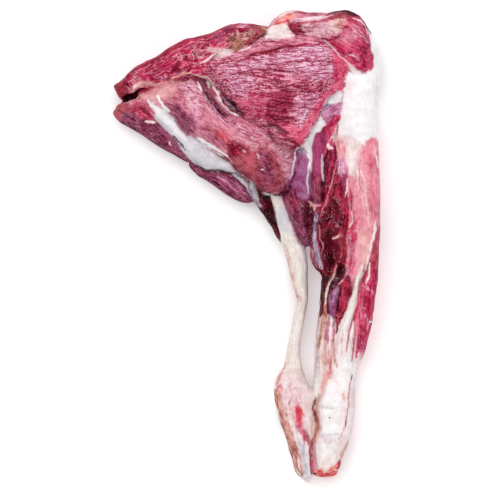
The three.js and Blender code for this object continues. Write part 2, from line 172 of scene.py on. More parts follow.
# Each mass: pigment, axis, the thickness that it belongs to, bottom in mm, length of its last nose in mm
# where it isn't worked out, slices of [place, low edge, high edge in mm, top as a share of the thickness].
MASSES = {
    "thigh core": ("deep", "x", "thigh", -10, None, [
        [-94, 100, 122, 0.26], [-75, 93, 134, 0.42], [-50, 82, 148, 0.56], [-20, 62, 156, 0.68],
        [10, 50, 160, 0.74], [40, 62, 168, 0.76], [68, 84, 170, 0.7], [88, 105, 164, 0.63],
        [99, 122, 150, 0.5]]),
    "rump strip": ("bright", "x", "thigh", 6, None, [
        [-102, 120.5, 125.5, 0.33], [-96, 112.8, 126.7, 0.42], [-85, 114, 136.8, 0.54],
        [-70, 117, 144.3, 0.64], [-50, 119, 157, 0.73], [-30, 123, 161.5, 0.79],
        [-10, 130, 169.2, 0.82], [8, 138, 169.8, 0.78], [24, 152, 172.5, 0.64]]),
    "haunch": ("haunch", "x", "thigh", 16, None, [
        [-36, 130, 141, 0.74], [-20, 117, 150.5, 0.86], [-6, 100, 155, 0.94], [10, 89, 160.5, 0.99],
        [26, 77, 164, 1], [40, 73, 165, 0.985], [50, 87, 164, 0.95], [60, 105, 160, 0.9],
        [70, 116, 151, 0.83], [80, 127, 139, 0.73]]),
    "inner thigh": ("rose", "x", "thigh", 12, None, [
        [-100, 100.5, 109.5, 0.35], [-82, 105, 116, 0.49], [-68, 106, 123, 0.6], [-55, 98, 128, 0.69],
        [-42, 85, 132, 0.76], [-28, 75, 125, 0.81], [-14, 66, 107, 0.82], [2, 49, 101, 0.81],
        [16, 40, 97, 0.78], [28, 37.5, 88, 0.7], [38, 53, 80, 0.57]]),
    "belly flap": ("plum", "x", "thigh", 5, None, [
        [-102.5, 98.5, 107, 0.3], [-85, 89.5, 110, 0.38], [-70, 79, 104, 0.42], [-55, 70, 92, 0.42],
        [-40, 59, 74, 0.36]]),
    "flank lobe": ("plum", "x", "thigh", 5, None, [
        [-44, 59.5, 66, 0.3], [-28, 48.5, 62, 0.36], [-14, 39.5, 59, 0.39], [-2, 33, 52, 0.38],
        [7, 31, 41, 0.3]]),
    "seam fat": ("greyfat", "x", "thigh", 8, None, [
        [-80, 107, 114, 0.5], [-68, 96, 116, 0.53], [-55, 82, 108, 0.53], [-42, 66, 97, 0.52],
        [-28, 58, 90, 0.51], [-14, 57, 80, 0.51], [0, 45, 63, 0.49], [8, 32, 54, 0.43],
        [14, 27, 44, 0.36]]),
    "hip corner": ("crimson", "x", "thigh", 6, None, [
        [50, 146, 174, 0.7], [66, 138, 178.7, 0.8], [76, 130, 179.7, 0.84], [86, 124, 175.3, 0.81],
        [93, 125, 166.5, 0.74], [100, 138, 151, 0.62]]),
    "hip ridge": ("blush", "x", "thigh", 10, None, [
        [16, 158, 172, 0.62], [34, 160, 179.7, 0.68], [50, 161, 177.8, 0.69], [67, 164, 179.3, 0.73]]),
    "hip fat": ("fat", "x", "thigh", 12, None, [
        [10, 151, 158, 0.73], [22, 153, 170, 0.72], [36, 156, 169, 0.62]]),
    "knee fat": ("fat", "y", "shank", 3, None, [
        [170, 86, 92, 0.86], [158, 82, 97, 0.95], [148, 78, 101.5, 1], [125, 70, 102, 1.04],
        [100, 64, 100.9, 1.04], [82, 64, 101.7, 0.98], [60, 72, 102.2, 0.88]]),
    "shank core": ("salmon", "y", "shank", -6, 4, [
        [112, 60, 98, 0.8], [90, 56, 100.5, 0.88], [60, 52, 101.8, 0.9], [30, 50, 102.2, 0.9],
        [5, 50.5, 101.6, 0.86], [-20, 56.5, 100, 0.81], [-45, 55.9, 98, 0.74], [-70, 53.6, 92.6, 0.66],
        [-90, 52.6, 86.5, 0.6], [-110, 50.5, 83, 0.59], [-135, 49.5, 82, 0.59], [-150, 49, 78.5, 0.57],
        [-165, 48, 71.8, 0.53], [-176, 49, 69.5, 0.46]]),
    "calf": ("violet", "y", "shank", 6, None, [
        [79, 39, 51, 0.84], [62, 34, 51, 0.92], [48, 30, 52, 0.96], [38, 27.5, 53, 0.94],
        [22, 33.5, 53, 0.84], [8, 40, 51.5, 0.7], [0, 44.5, 49.5, 0.56]]),
    "calf strap": ("plum", "y", "shank", 14, None, [
        [90, 50, 59, 0.95], [70, 48, 60, 0.99], [50, 47.5, 60, 0.98], [30, 48, 58.5, 0.9],
        [10, 49, 56, 0.78], [-8, 49.2, 56.5, 0.68], [-20, 54, 59, 0.6]]),
    "knee strap": ("crimson", "y", "shank", 14, None, [
        [104, 67, 75, 0.97], [88, 58, 71, 1], [72, 56, 71, 0.99], [50, 56, 69, 0.99],
        [32, 54, 67, 0.95], [16, 52, 60, 0.82]]),
    "deep flexor": ("ruby", "y", "shank", 12, None, [
        [58, 64, 73, 0.95], [35, 60, 79, 1], [10, 53, 80, 0.99], [-10, 54, 79, 0.93],
        [-28, 57, 69, 0.8]]),
    "shin band": ("salmon", "y", "shank", 12, None, [
        [88, 89, 100, 0.93], [55, 76, 101.5, 0.99], [25, 77, 102, 1], [-5, 77, 99, 0.96],
        [-25, 75, 91, 0.87], [-44, 77, 85, 0.78]]),
    "shin edge": ("crimson", "y", "shank", 8, None, [
        [32, 95, 102, 0.8], [0, 90, 101.8, 0.84], [-30, 84, 99.8, 0.84], [-55, 80, 96.3, 0.77],
        [-75, 79, 92, 0.67], [-89, 80, 88, 0.6]]),
    "ruby spindle": ("ruby", "y", "shank", 12, None, [
        [-18, 70, 81, 0.86], [-40, 67, 80, 0.86], [-55, 66, 77, 0.77], [-69, 66, 71, 0.66]]),
    "plum spindle": ("violet", "y", "shank", 12, None, [
        [-22, 65, 73, 0.84], [-40, 62, 71, 0.84], [-57, 63, 69, 0.73]]),
    "back tendon": ("tendon", "y", "shank", 6, None, [
        [-16, 57, 68, 0.8], [-45, 55.7, 63.5, 0.76], [-70, 53.3, 62, 0.68], [-95, 51.8, 61, 0.63],
        [-120, 49.5, 56, 0.6]]),
    "front tendon": ("fat", "y", "shank", 10, None, [
        [-10, 83, 90, 0.93], [-40, 78, 85, 0.86], [-60, 71, 80, 0.77], [-85, 64, 82, 0.69],
        [-110, 60, 80, 0.67]]),
    "shin end": ("bone", "y", "shank", 2, 5, [
        [-84, 60, 82, 0.6], [-104, 55, 83.5, 0.68], [-122, 53, 83.6, 0.73], [-140, 52.5, 81, 0.72],
        [-155, 52, 75.8, 0.66], [-173, 52.5, 70.5, 0.56]]),
    "hock tendon": ("tendon", "y", "shank", 9, None, [
        [46, 17, 25, 0.6], [30, 19.5, 32, 0.64], [18, 24.5, 37.5, 0.63], [5, 26.3, 43.5, 0.58],
        [-10, 31.6, 46.9, 0.52], [-28, 34.8, 47.5, 0.48], [-40, 37.9, 47.6, 0.46],
        [-55, 35.6, 45.2, 0.44], [-72, 32.4, 42, 0.42], [-88, 29.8, 42, 0.43], [-104, 25, 46, 0.47]]),
    "heel": ("bone", "y", "shank", -3, None, [
        [-88, 31, 42, 0.43], [-98, 23.8, 45, 0.53], [-106, 21.2, 48.5, 0.61], [-114, 20.9, 53, 0.65],
        [-122, 22.3, 54, 0.65], [-140, 28, 53, 0.61], [-158, 33.9, 52, 0.56], [-172, 37.8, 52, 0.5],
        [-180, 43.5, 51.5, 0.38]]),
    # painted shade: a dark maroon mass where the hollow by the tendon's root lies in shadow
    "hollow lining": ("maroon", "y", "shank", 5, None, [
        [48, 5, 34, 0.5], [34, 6.5, 33, 0.53], [15, 19.8, 34, 0.5], [0, 27.5, 36, 0.45]]),
}

# Patches painted on the shown side: pigment, how much of it, softness of the rim in mm, lift in mm,
# outline in mm.
PATCHES = [
    # rump strip and the tip of the thigh
    ("deep", 0.6, 4, 0, [(-84, 128), (-76, 136), (-62, 142), (-48, 138), (-50, 131), (-66, 127)]),
    ("bone", 0.55, 3, 0.2, [(-31, 148), (-22, 151.5), (-15, 151), (-9, 148), (-8, 144), (-16, 142),
        (-26, 144)]),
    ("redbrown", 0.9, 1.5, 0, [(-102, 125), (-93, 126), (-91, 118), (-95, 112), (-101, 119)]),
    ("maroon", 0.85, 1.5, 0, [(-93, 124), (-89, 125), (-89, 114), (-95, 110), (-96, 113), (-92, 118)]),
    ("peach", 0.65, 2, 0.5, [(-86, 114), (-86, 124), (-82, 128), (-75, 126), (-66, 123.5), (-68, 121),
        (-80, 120.5)]),
    ("tan", 0.4, 2.5, 0, [(-95, 109), (-86, 113), (-72, 120), (-60, 124), (-62, 114), (-72, 112),
        (-84, 108)]),
    ("redbrown", 0.95, 2.5, 0, [(-103, 98), (-101, 108), (-92, 110), (-86, 106), (-90, 102), (-96, 98)]),
    ("crimson", 0.8, 2.5, 0, [(-84, 110), (-74, 109), (-68, 102), (-71, 96), (-80, 97), (-88, 104)]),
    ("brown", 0.8, 3.5, 0, [(-15, 149), (-14, 156), (-9, 161), (-2, 160), (4, 164), (12, 169), (19, 170),
        (16, 163), (8, 155), (2, 151), (-6, 147)]),
    ("maroon", 0.8, 2, 0, [(1, 150.5), (8, 153.5), (15, 160), (12, 161), (5, 156.5), (0, 153)]),
    ("ruby", 0.65, 2, 0, [(-101, 124), (-92, 125), (-89, 119), (-94, 112), (-99, 117)]),
    ("orchid", 0.45, 3, 0, [(-30, 155), (-18, 163), (-14, 160), (-20, 155)]),
    ("deep", 0.7, 2, 0, [(-17, 163), (-8, 167), (-5, 164), (-14, 160)]),
    # haunch
    ("rose", 0.85, 2.5, 0, [(-14, 142), (0, 147.5), (15, 152.5), (32, 158), (50, 160.5), (62, 157),
        (50, 153.5), (30, 150.5), (15, 146)]),
    # painted sheen: the two lilac patches are the highlight on the wet haunch
    ("lilac_sheen", 0.95, 4, 0, [(-15, 140), (0, 139), (20, 144), (35, 148), (55, 151), (65, 147), (67, 136),
        (66, 126), (56, 122), (48, 125), (44, 129), (25, 132), (10, 133), (-5, 134), (4, 130), (8, 122),
        (-4, 112), (-13, 118)]),
    ("lilac_sheen", 0.9, 4, 0, [(34, 114), (48, 114), (58, 108), (54, 97), (40, 92), (33, 104)]),
    ("deep", 0.2, 4, -0.3, [(5, 129), (12, 131), (20, 130), (40, 131), (46, 127), (42, 121), (30, 119),
        (15, 123), (5, 124)]),
    ("deep", 0.85, 4, -0.5, [(16, 118), (30, 121), (38, 114), (34, 103), (34, 90), (20, 90), (14, 100)]),
    ("deep", 0.6, 3, -0.3, [(36, 121), (50, 122), (63, 123), (61, 114), (50, 116), (38, 117)]),
    ("crimson", 0.6, 4, 0, [(-9, 112), (5, 116), (17, 114), (16, 100), (10, 94), (0, 99)]),
    ("scarlet", 0.95, 3, 0, [(64, 148), (70, 145), (77, 137), (77, 125), (72, 116), (64, 112), (58, 106),
        (52, 96), (46, 86), (41, 77), (36, 77), (44, 92), (53, 106), (60, 116), (66, 122), (67, 136)]),
    ("scarlet", 0.6, 4, 0, [(20, 92), (34, 92), (45, 90), (40, 78), (30, 80)]),
    ("deep", 0.35, 3, -0.3, [(-34, 138), (-24, 135), (-16, 123), (-8, 111), (2, 102), (-3, 101), (-13, 108),
        (-22, 119), (-30, 130)]),
    # inner thigh
    ("peach", 0.65, 5, 0, [(-76, 113), (-66, 122), (-54, 128), (-48, 124), (-56, 112), (-66, 106)]),
    ("blush", 0.65, 4, 0, [(-52, 125), (-42, 126), (-33, 116), (-31, 106), (-37, 103), (-46, 111)]),
    # painted shadow: a plum band on the inner thigh, which is also sunk
    ("plum", 0.85, 4, -0.4, [(-60, 108), (-52, 107), (-45, 100), (-40, 95), (-41, 86), (-46, 85),
        (-53, 94)]),
    ("plum", 0.5, 4, 0, [(-41, 89), (-30, 90), (-21, 82), (-18, 74), (-25, 75), (-36, 82)]),
    ("redbrown", 0.45, 4, 0, [(-33, 98), (-25, 95), (-16, 86), (-20, 79), (-32, 86)]),
    # painted shadow: plum on the left of the membrane, which is also sunk
    ("plum", 0.85, 3, -0.8, [(-41, 128), (-33, 128), (-27, 121), (-21, 110), (-10, 99), (-17, 97),
        (-26, 107), (-34, 117)]),
    # painted shadow: maroon on the left of the membrane, which is also sunk
    ("maroon", 0.5, 3, -0.4, [(-32, 122), (-28, 121), (-21, 109), (-24, 104), (-30, 112)]),
    ("redbrown", 0.95, 4, 0, [(-13, 69), (-8, 79), (3, 80), (12, 76), (24, 68), (27, 54), (25, 41),
        (13, 40), (0, 50), (-10, 60)]),
    ("plum", 0.65, 5, 0, [(6, 74), (14, 74), (20, 66), (24, 56), (20, 46), (12, 46), (7, 58)]),
    ("blush", 0.6, 3.5, 0, [(14, 80), (30, 77), (38, 72), (37, 60), (34, 52), (30, 46), (29, 54), (27, 65),
        (14, 76)]),
    ("blood", 0.5, 3, 0, [(-23, 88), (-15, 87), (-8, 80), (-8, 75), (-15, 76), (-20, 81)]),
    ("ruby", 0.85, 2.5, -0.3, [(-14, 79), (-6, 80), (0, 76), (-4, 70), (-9, 65), (-14, 69)]),
    ("blood", 0.3, 4, 0.2, [(-4, 79), (3, 79), (10, 73), (6, 62), (0, 62), (-2, 70)]),
    ("plum", 0.55, 3, 0, [(-54, 96), (-48, 97), (-44, 90), (-46, 86), (-52, 90)]),
    ("mauve", 0.3, 4, 0, [(-44, 80), (-34, 80), (-26, 72), (-32, 66), (-42, 74)]),
    ("fat", 0.55, 3, 0, [(-26, 67), (-18, 67), (-12, 60), (-18, 58)]),
    ("blush", 0.45, 4, 0, [(-8, 86), (4, 85), (10, 77), (5, 73), (-2, 77)]),
    # hip
    ("crimson", 0.5, 1.5, 0, [(31, 172), (40, 177), (50, 177), (63, 178), (64, 175.5), (50, 173.5),
        (38, 171.5)]),
    ("orange", 0.65, 2, 0.2, [(18, 168), (22, 172), (29, 175.5), (36, 176), (37, 173), (30, 169),
        (24, 167.5)]),
    ("bone", 0.9, 2.5, 0, [(13, 155), (19, 167), (26, 168), (32, 166), (36, 159), (25, 157)]),
    ("ruby", 0.98, 1.5, -1.2, [(31, 171), (40, 168.5), (42, 165), (48, 160.5), (38, 158), (35, 162)]),
    ("plum", 0.8, 1.5, 0, [(36.5, 163), (41, 162), (46, 160.5), (40, 158.5), (37, 160)]),
    ("blush", 0.95, 2.5, 0, [(41, 166), (50, 168), (60, 170), (70, 172), (76, 173), (74, 166), (70, 160),
        (64, 157), (54, 159), (46, 161)]),
    ("tan", 0.6, 3, 0, [(66, 172), (76, 174), (75, 167), (70, 162), (65, 165)]),
    ("redbrown", 0.95, 1.2, 0, [(64, 176), (69, 180), (77, 180), (84, 175), (80, 172.5), (72, 172.5),
        (67, 173.5)]),
    ("rose", 0.55, 3, 0, [(72, 163), (78, 169), (86, 170), (90, 165), (90, 158), (84, 157), (80, 152),
        (77, 147), (70, 152), (65, 155), (70, 160)]),
    ("crimson", 0.9, 2, 0, [(66, 154), (71, 149), (77, 145), (80, 147), (74, 153)]),
    ("deep", 0.8, 2.5, -0.3, [(79, 151), (85, 150), (88, 152), (90, 155), (94, 153), (93, 147), (88, 140),
        (85, 138), (86, 147)]),
    ("crimson", 0.95, 2.5, 0, [(92, 150), (97, 144), (97, 135), (91, 128.5), (86, 131), (80, 136),
        (76, 141), (84, 140), (89, 141)]),
    ("fat", 0.98, 1.5, 0, [(94, 158), (104, 158), (104, 128), (93, 127), (97, 136), (97, 146)]),
    ("bone", 0.4, 4, 0, [(46, 164), (56, 167), (68, 169), (70, 162), (62, 160), (52, 161)]),
    # knee and calf
    ("fat", 0.98, 3, 0, [(78, 136), (90, 130), (104, 134), (104, 84), (96, 88), (91, 82), (80, 78),
        (73, 86), (74, 102), (74, 116)]),
    ("bone", 0.9, 4, 0, [(66, 82), (74, 88), (88, 80), (88, 68), (84, 58), (80, 50), (76, 62), (70, 70)]),
    ("scarlet", 0.35, 5, 0, [(67, 84), (76, 83), (79, 66), (73, 62), (69, 70)]),
    ("scarlet", 0.4, 4, 0, [(90, 78), (94, 84), (98, 80), (100, 66), (97, 56), (90, 60), (86, 66)]),
    ("mauve", 0.8, 1.5, 0, [(57, 102), (62, 113), (70, 119), (74, 117), (73, 103), (66, 100), (62, 93),
        (57, 96)]),
    ("fat", 0.65, 2, 0, [(59, 107), (63, 114), (70, 119), (74, 116), (72, 110), (64, 107)]),
    ("orchid", 0.9, 2, 0, [(58, 101), (64, 107), (73, 109), (73, 103), (66, 100), (61, 92), (57, 97)]),
    ("fat", 0.95, 2, 0.3, [(38, 73), (44, 80), (50, 90), (57, 97), (60, 93), (57, 88), (52, 85), (49, 76),
        (49, 58), (47, 58), (46, 72)]),
    ("crimson", 0.98, 1.5, 0, [(72, 101), (66, 97.5), (60, 89), (58, 82), (62, 79), (66, 87), (71, 96)]),
    ("magenta", 0.95, 1.5, 0, [(51, 80), (53, 86), (56, 86), (60, 86), (61, 78), (57.5, 74), (57.5, 60),
        (58, 50), (53, 48), (51, 60)]),
    ("violet", 0.95, 2.5, 0, [(34, 62), (40, 66), (47, 66), (48, 58), (48, 40), (40, 35), (31, 37),
        (29, 41), (33, 50)]),
    ("orchid", 0.4, 2.5, 0, [(37, 68), (40, 72), (46, 72), (46, 67)]),
    ("plum", 0.95, 3, 0, [(27, 42), (34, 47), (39, 38), (48, 36), (50, 20), (47, 2), (44, 0), (38, 10),
        (31, 28)]),
    # maroon of the lower calf: dark flesh, darkened further by painted shade
    ("maroon", 0.75, 3, -0.3, [(40, 34), (50, 38), (53, 28), (52, 12), (48, 2), (44, 12), (42, 24)]),
    ("redbrown", 0.6, 5, 0, [(52, 56), (57, 54), (58, 45), (56, 36), (51, 40), (51, 50)]),
    ("deep", 0.95, 1.5, 0, [(62, 76), (68, 75.5), (69, 66), (66, 54), (62, 39), (57, 26), (54, 20),
        (52, 24), (56, 36), (58, 50), (59.5, 62)]),
    ("ruby", 0.9, 2.5, 0, [(66, 55), (72, 55), (74, 46), (76, 36), (78, 34), (78, 16), (72, 12), (68, 22),
        (64, 36)]),
    ("orchid", 0.8, 2.5, 0, [(69, 66), (75, 66), (78, 56), (78, 48), (74, 50), (69, 58)]),
    ("magenta", 0.85, 1.5, 0, [(73, 56), (77, 56), (78, 48), (77, 40), (75, 38), (73, 48)]),
    ("black", 0.35, 3, 0, [(41, 30), (48, 30), (48, 14), (45, 10), (42, 18)]),
    ("ruby", 0.5, 3, 0, [(30, 40), (38, 39), (42, 32), (36, 26), (31, 32)]),
    ("salmon", 0.5, 3, 0, [(69, 82), (75, 82), (77, 72), (72, 66), (70, 72)]),
    ("salmon", 0.4, 4, 0, [(82, 72), (90, 76), (90, 60), (83, 58)]),
    ("scarlet", 0.4, 3, 0, [(94, 56), (99, 56), (99, 36), (95, 30)]),
    ("maroon", 0.45, 2.5, 0, [(28, 42), (33, 48), (36, 40), (34, 34), (30, 37)]),
    # painted highlight on the calf
    ("orchid", 0.35, 3, 0, [(40, 48), (46, 49), (46, 41), (41, 40)]),
    # shank
    ("maroon", 0.75, 3, 0, [(56, 18), (60, 28), (65, 37), (70, 36), (73, 28), (73, 18), (70, 14), (70, -8),
        (72, -13), (67, -15), (65, -19), (60, -20), (56, -12), (54.5, 4)]),
    ("redbrown", 0.9, 2, 0, [(70.5, 10), (76.5, 10), (77, 0), (76.5, -12), (72, -11), (70, -2)]),
    ("ruby", 0.6, 2, 0, [(71, 7), (75, 7), (76.5, -13), (72, -13)]),
    ("scarlet", 0.85, 1.2, 0, [(78.5, 29), (82, 28), (84, 18), (84, 10), (83.5, 0), (83, -8), (82, -21),
        (77, -21), (76.5, -12), (78, 0), (77.5, 12)]),
    ("salmon", 0.65, 4, 0, [(84, 36), (92, 38), (94, 12), (85, 12)]),
    ("salmon", 0.7, 2, 0, [(82, 4), (85, 4), (86, -10), (84, -22), (81, -22), (83, -8)]),
    ("crimson", 0.75, 2.5, 0, [(97, 20), (103, 16), (103, -12), (101, -32), (97, -30), (94, -14), (95, 4)]),
    ("maroon", 0.98, 1.5, -0.4, [(51.5, -16), (62, -22), (67, -26), (69, -13), (75, -15), (74, -24),
        (70, -28), (65, -33), (63, -42), (62.5, -50), (51.5, -50)]),
    ("ruby", 0.95, 1.5, 0, [(75, -21), (79, -24), (80.5, -30), (79.5, -38), (77, -46), (74, -54),
        (70.5, -60), (68, -57), (69, -48), (71, -40), (73, -30)]),
    ("crimson", 0.4, 2, 0, [(77, -24), (80, -27), (79.5, -38), (76, -47), (73, -46), (76, -36)]),
    ("violet", 0.9, 1.2, 0.2, [(69.5, -29), (70.5, -32), (69, -40), (67, -48), (65.5, -53), (64.5, -50),
        (65, -42), (66.5, -34)]),
    ("scarlet", 0.65, 3, 0, [(86, -27), (90, -28), (88.5, -42), (88, -56), (85, -68), (81, -62), (82, -48),
        (84, -38)]),
    ("crimson", 0.9, 1.5, 0.4, [(89, -33), (93, -31), (97, -36), (98, -46), (95.5, -55), (91, -56),
        (88.5, -50), (88.5, -40)]),
    ("crimson", 0.9, 2, 0, [(88, -61), (93.5, -58), (92.5, -66), (90, -73), (88, -67)]),
    ("orchid", 0.6, 2, 0, [(87, -68), (91, -72), (89, -80), (86, -82)]),
    ("bone", 0.95, 6, 0, [(60, -56), (72, -62), (78, -58), (82, -70), (88, -82), (86, -104), (60, -104),
        (56, -80)]),
    ("fat", 0.6, 5, 0, [(70, -80), (86, -84), (84, -110), (66, -110)]),
    ("tan", 0.45, 4, 0, [(55, -52), (67, -56), (69, -70), (67, -88), (54, -92), (53, -70)]),
    ("ruby", 0.15, 3, 0, [(58, 26), (65, 34), (71, 28), (71, 14), (62, 10), (57, 14)]),
    ("black", 0.45, 3, 0, [(59, 15), (65, 14), (66, 2), (68, -10), (63, -18), (58, -12)]),
    ("salmon", 0.45, 2.5, 0, [(84, -50), (87, -54), (86, -66), (82, -64)]),
    ("mauve", 0.35, 4, 0, [(60, -54), (68, -58), (69, -72), (67, -84), (63, -80)]),
    ("rose", 0.7, 3, 0, [(97, 34), (103, 34), (103, 12), (97, 14)]),
    ("redbrown", 0.55, 3, 0, [(96.5, 12), (103, 12), (103, -26), (98, -28), (95, -10)]),
    ("peach", 0.85, 4, 0, [(85, 14), (94, 12), (93, -4), (88, -20), (85, -18)]),
    # hock and the root of its tendon
    ("orange", 0.9, 1.5, 0, [(53, -171), (57, -168), (60, -170), (64, -167), (71, -163), (72, -170),
        (67, -178), (54, -178)]),
    ("bone", 0.55, 1.2, 0.3, [(58.5, -169), (61, -168), (63, -172), (59.5, -174)]),
    ("rose", 0.4, 8, 0, [(25, -100), (42, -98), (48, -110), (36, -120), (25, -116)]),
    ("rose", 0.4, 6, 0, [(33, -115), (42, -113), (47, -120), (46, -132), (49, -142), (43, -149), (37, -138),
        (34, -127)]),
    ("salmon", 0.5, 4, 0, [(32, -119), (38, -116), (44, -119), (46, -126), (44, -135), (38, -135),
        (33, -127)]),
    ("blood", 0.65, 4.5, 0, [(36, -122), (39, -121), (42.5, -123), (43, -129), (42.5, -136), (39.5, -136),
        (37, -128)]),
    ("redbrown", 0.5, 4, 0, [(42, -137), (47, -141), (51, -146), (51, -154), (47, -155), (43, -148)]),
    ("scarlet", 0.5, 4, 0, [(23, -106), (27, -105), (29.5, -109), (25, -113)]),
    ("orchid", 0.4, 4, 0, [(26, -109), (31, -111), (30, -117), (26, -114)]),
    ("fat", 0.7, 5, 0, [(58, -106), (74, -104), (75, -140), (68, -160), (58, -162), (54, -150),
        (55, -125)]),
    ("greyfat", 0.5, 4, 0, [(79, -100), (85, -98), (85, -140), (80, -150), (78, -140), (79, -118)]),
    ("rose", 0.3, 4, 0, [(56, -142), (70, -142), (69, -150), (56, -150)]),
    ("greyfat", 0.75, 3.5, 0, [(37, -141), (42, -150), (48, -154), (49.5, -172), (47, -180), (43, -175),
        (39, -160)]),
    ("tan", 0.7, 3, 0, [(53, -120), (57, -126), (57, -138), (53, -148), (50, -150), (51, -136)]),
    # painted shade: maroon in the hollow by the tendon's root
    ("maroon", 0.98, 1.5, 0, [(8, 43), (18, 39), (22, 29), (25, 14), (28, 4), (20, 14), (11, 29),
        (10, 36)]),
    ("mauve", 0.7, 1.5, 0.2, [(3, 46), (8, 45), (9, 36), (13, 30), (5, 31), (4, 38)]),
    ("mauve", 0.45, 3, 0, [(40, -150), (44, -150), (46, -164), (45, -172), (41, -164)]),
    # painted shade: black in the hollow by the tendon's root
    ("black", 0.4, 2, 0, [(12, 38), (18, 36), (22, 26), (24, 14), (18, 18), (12, 30)]),
]

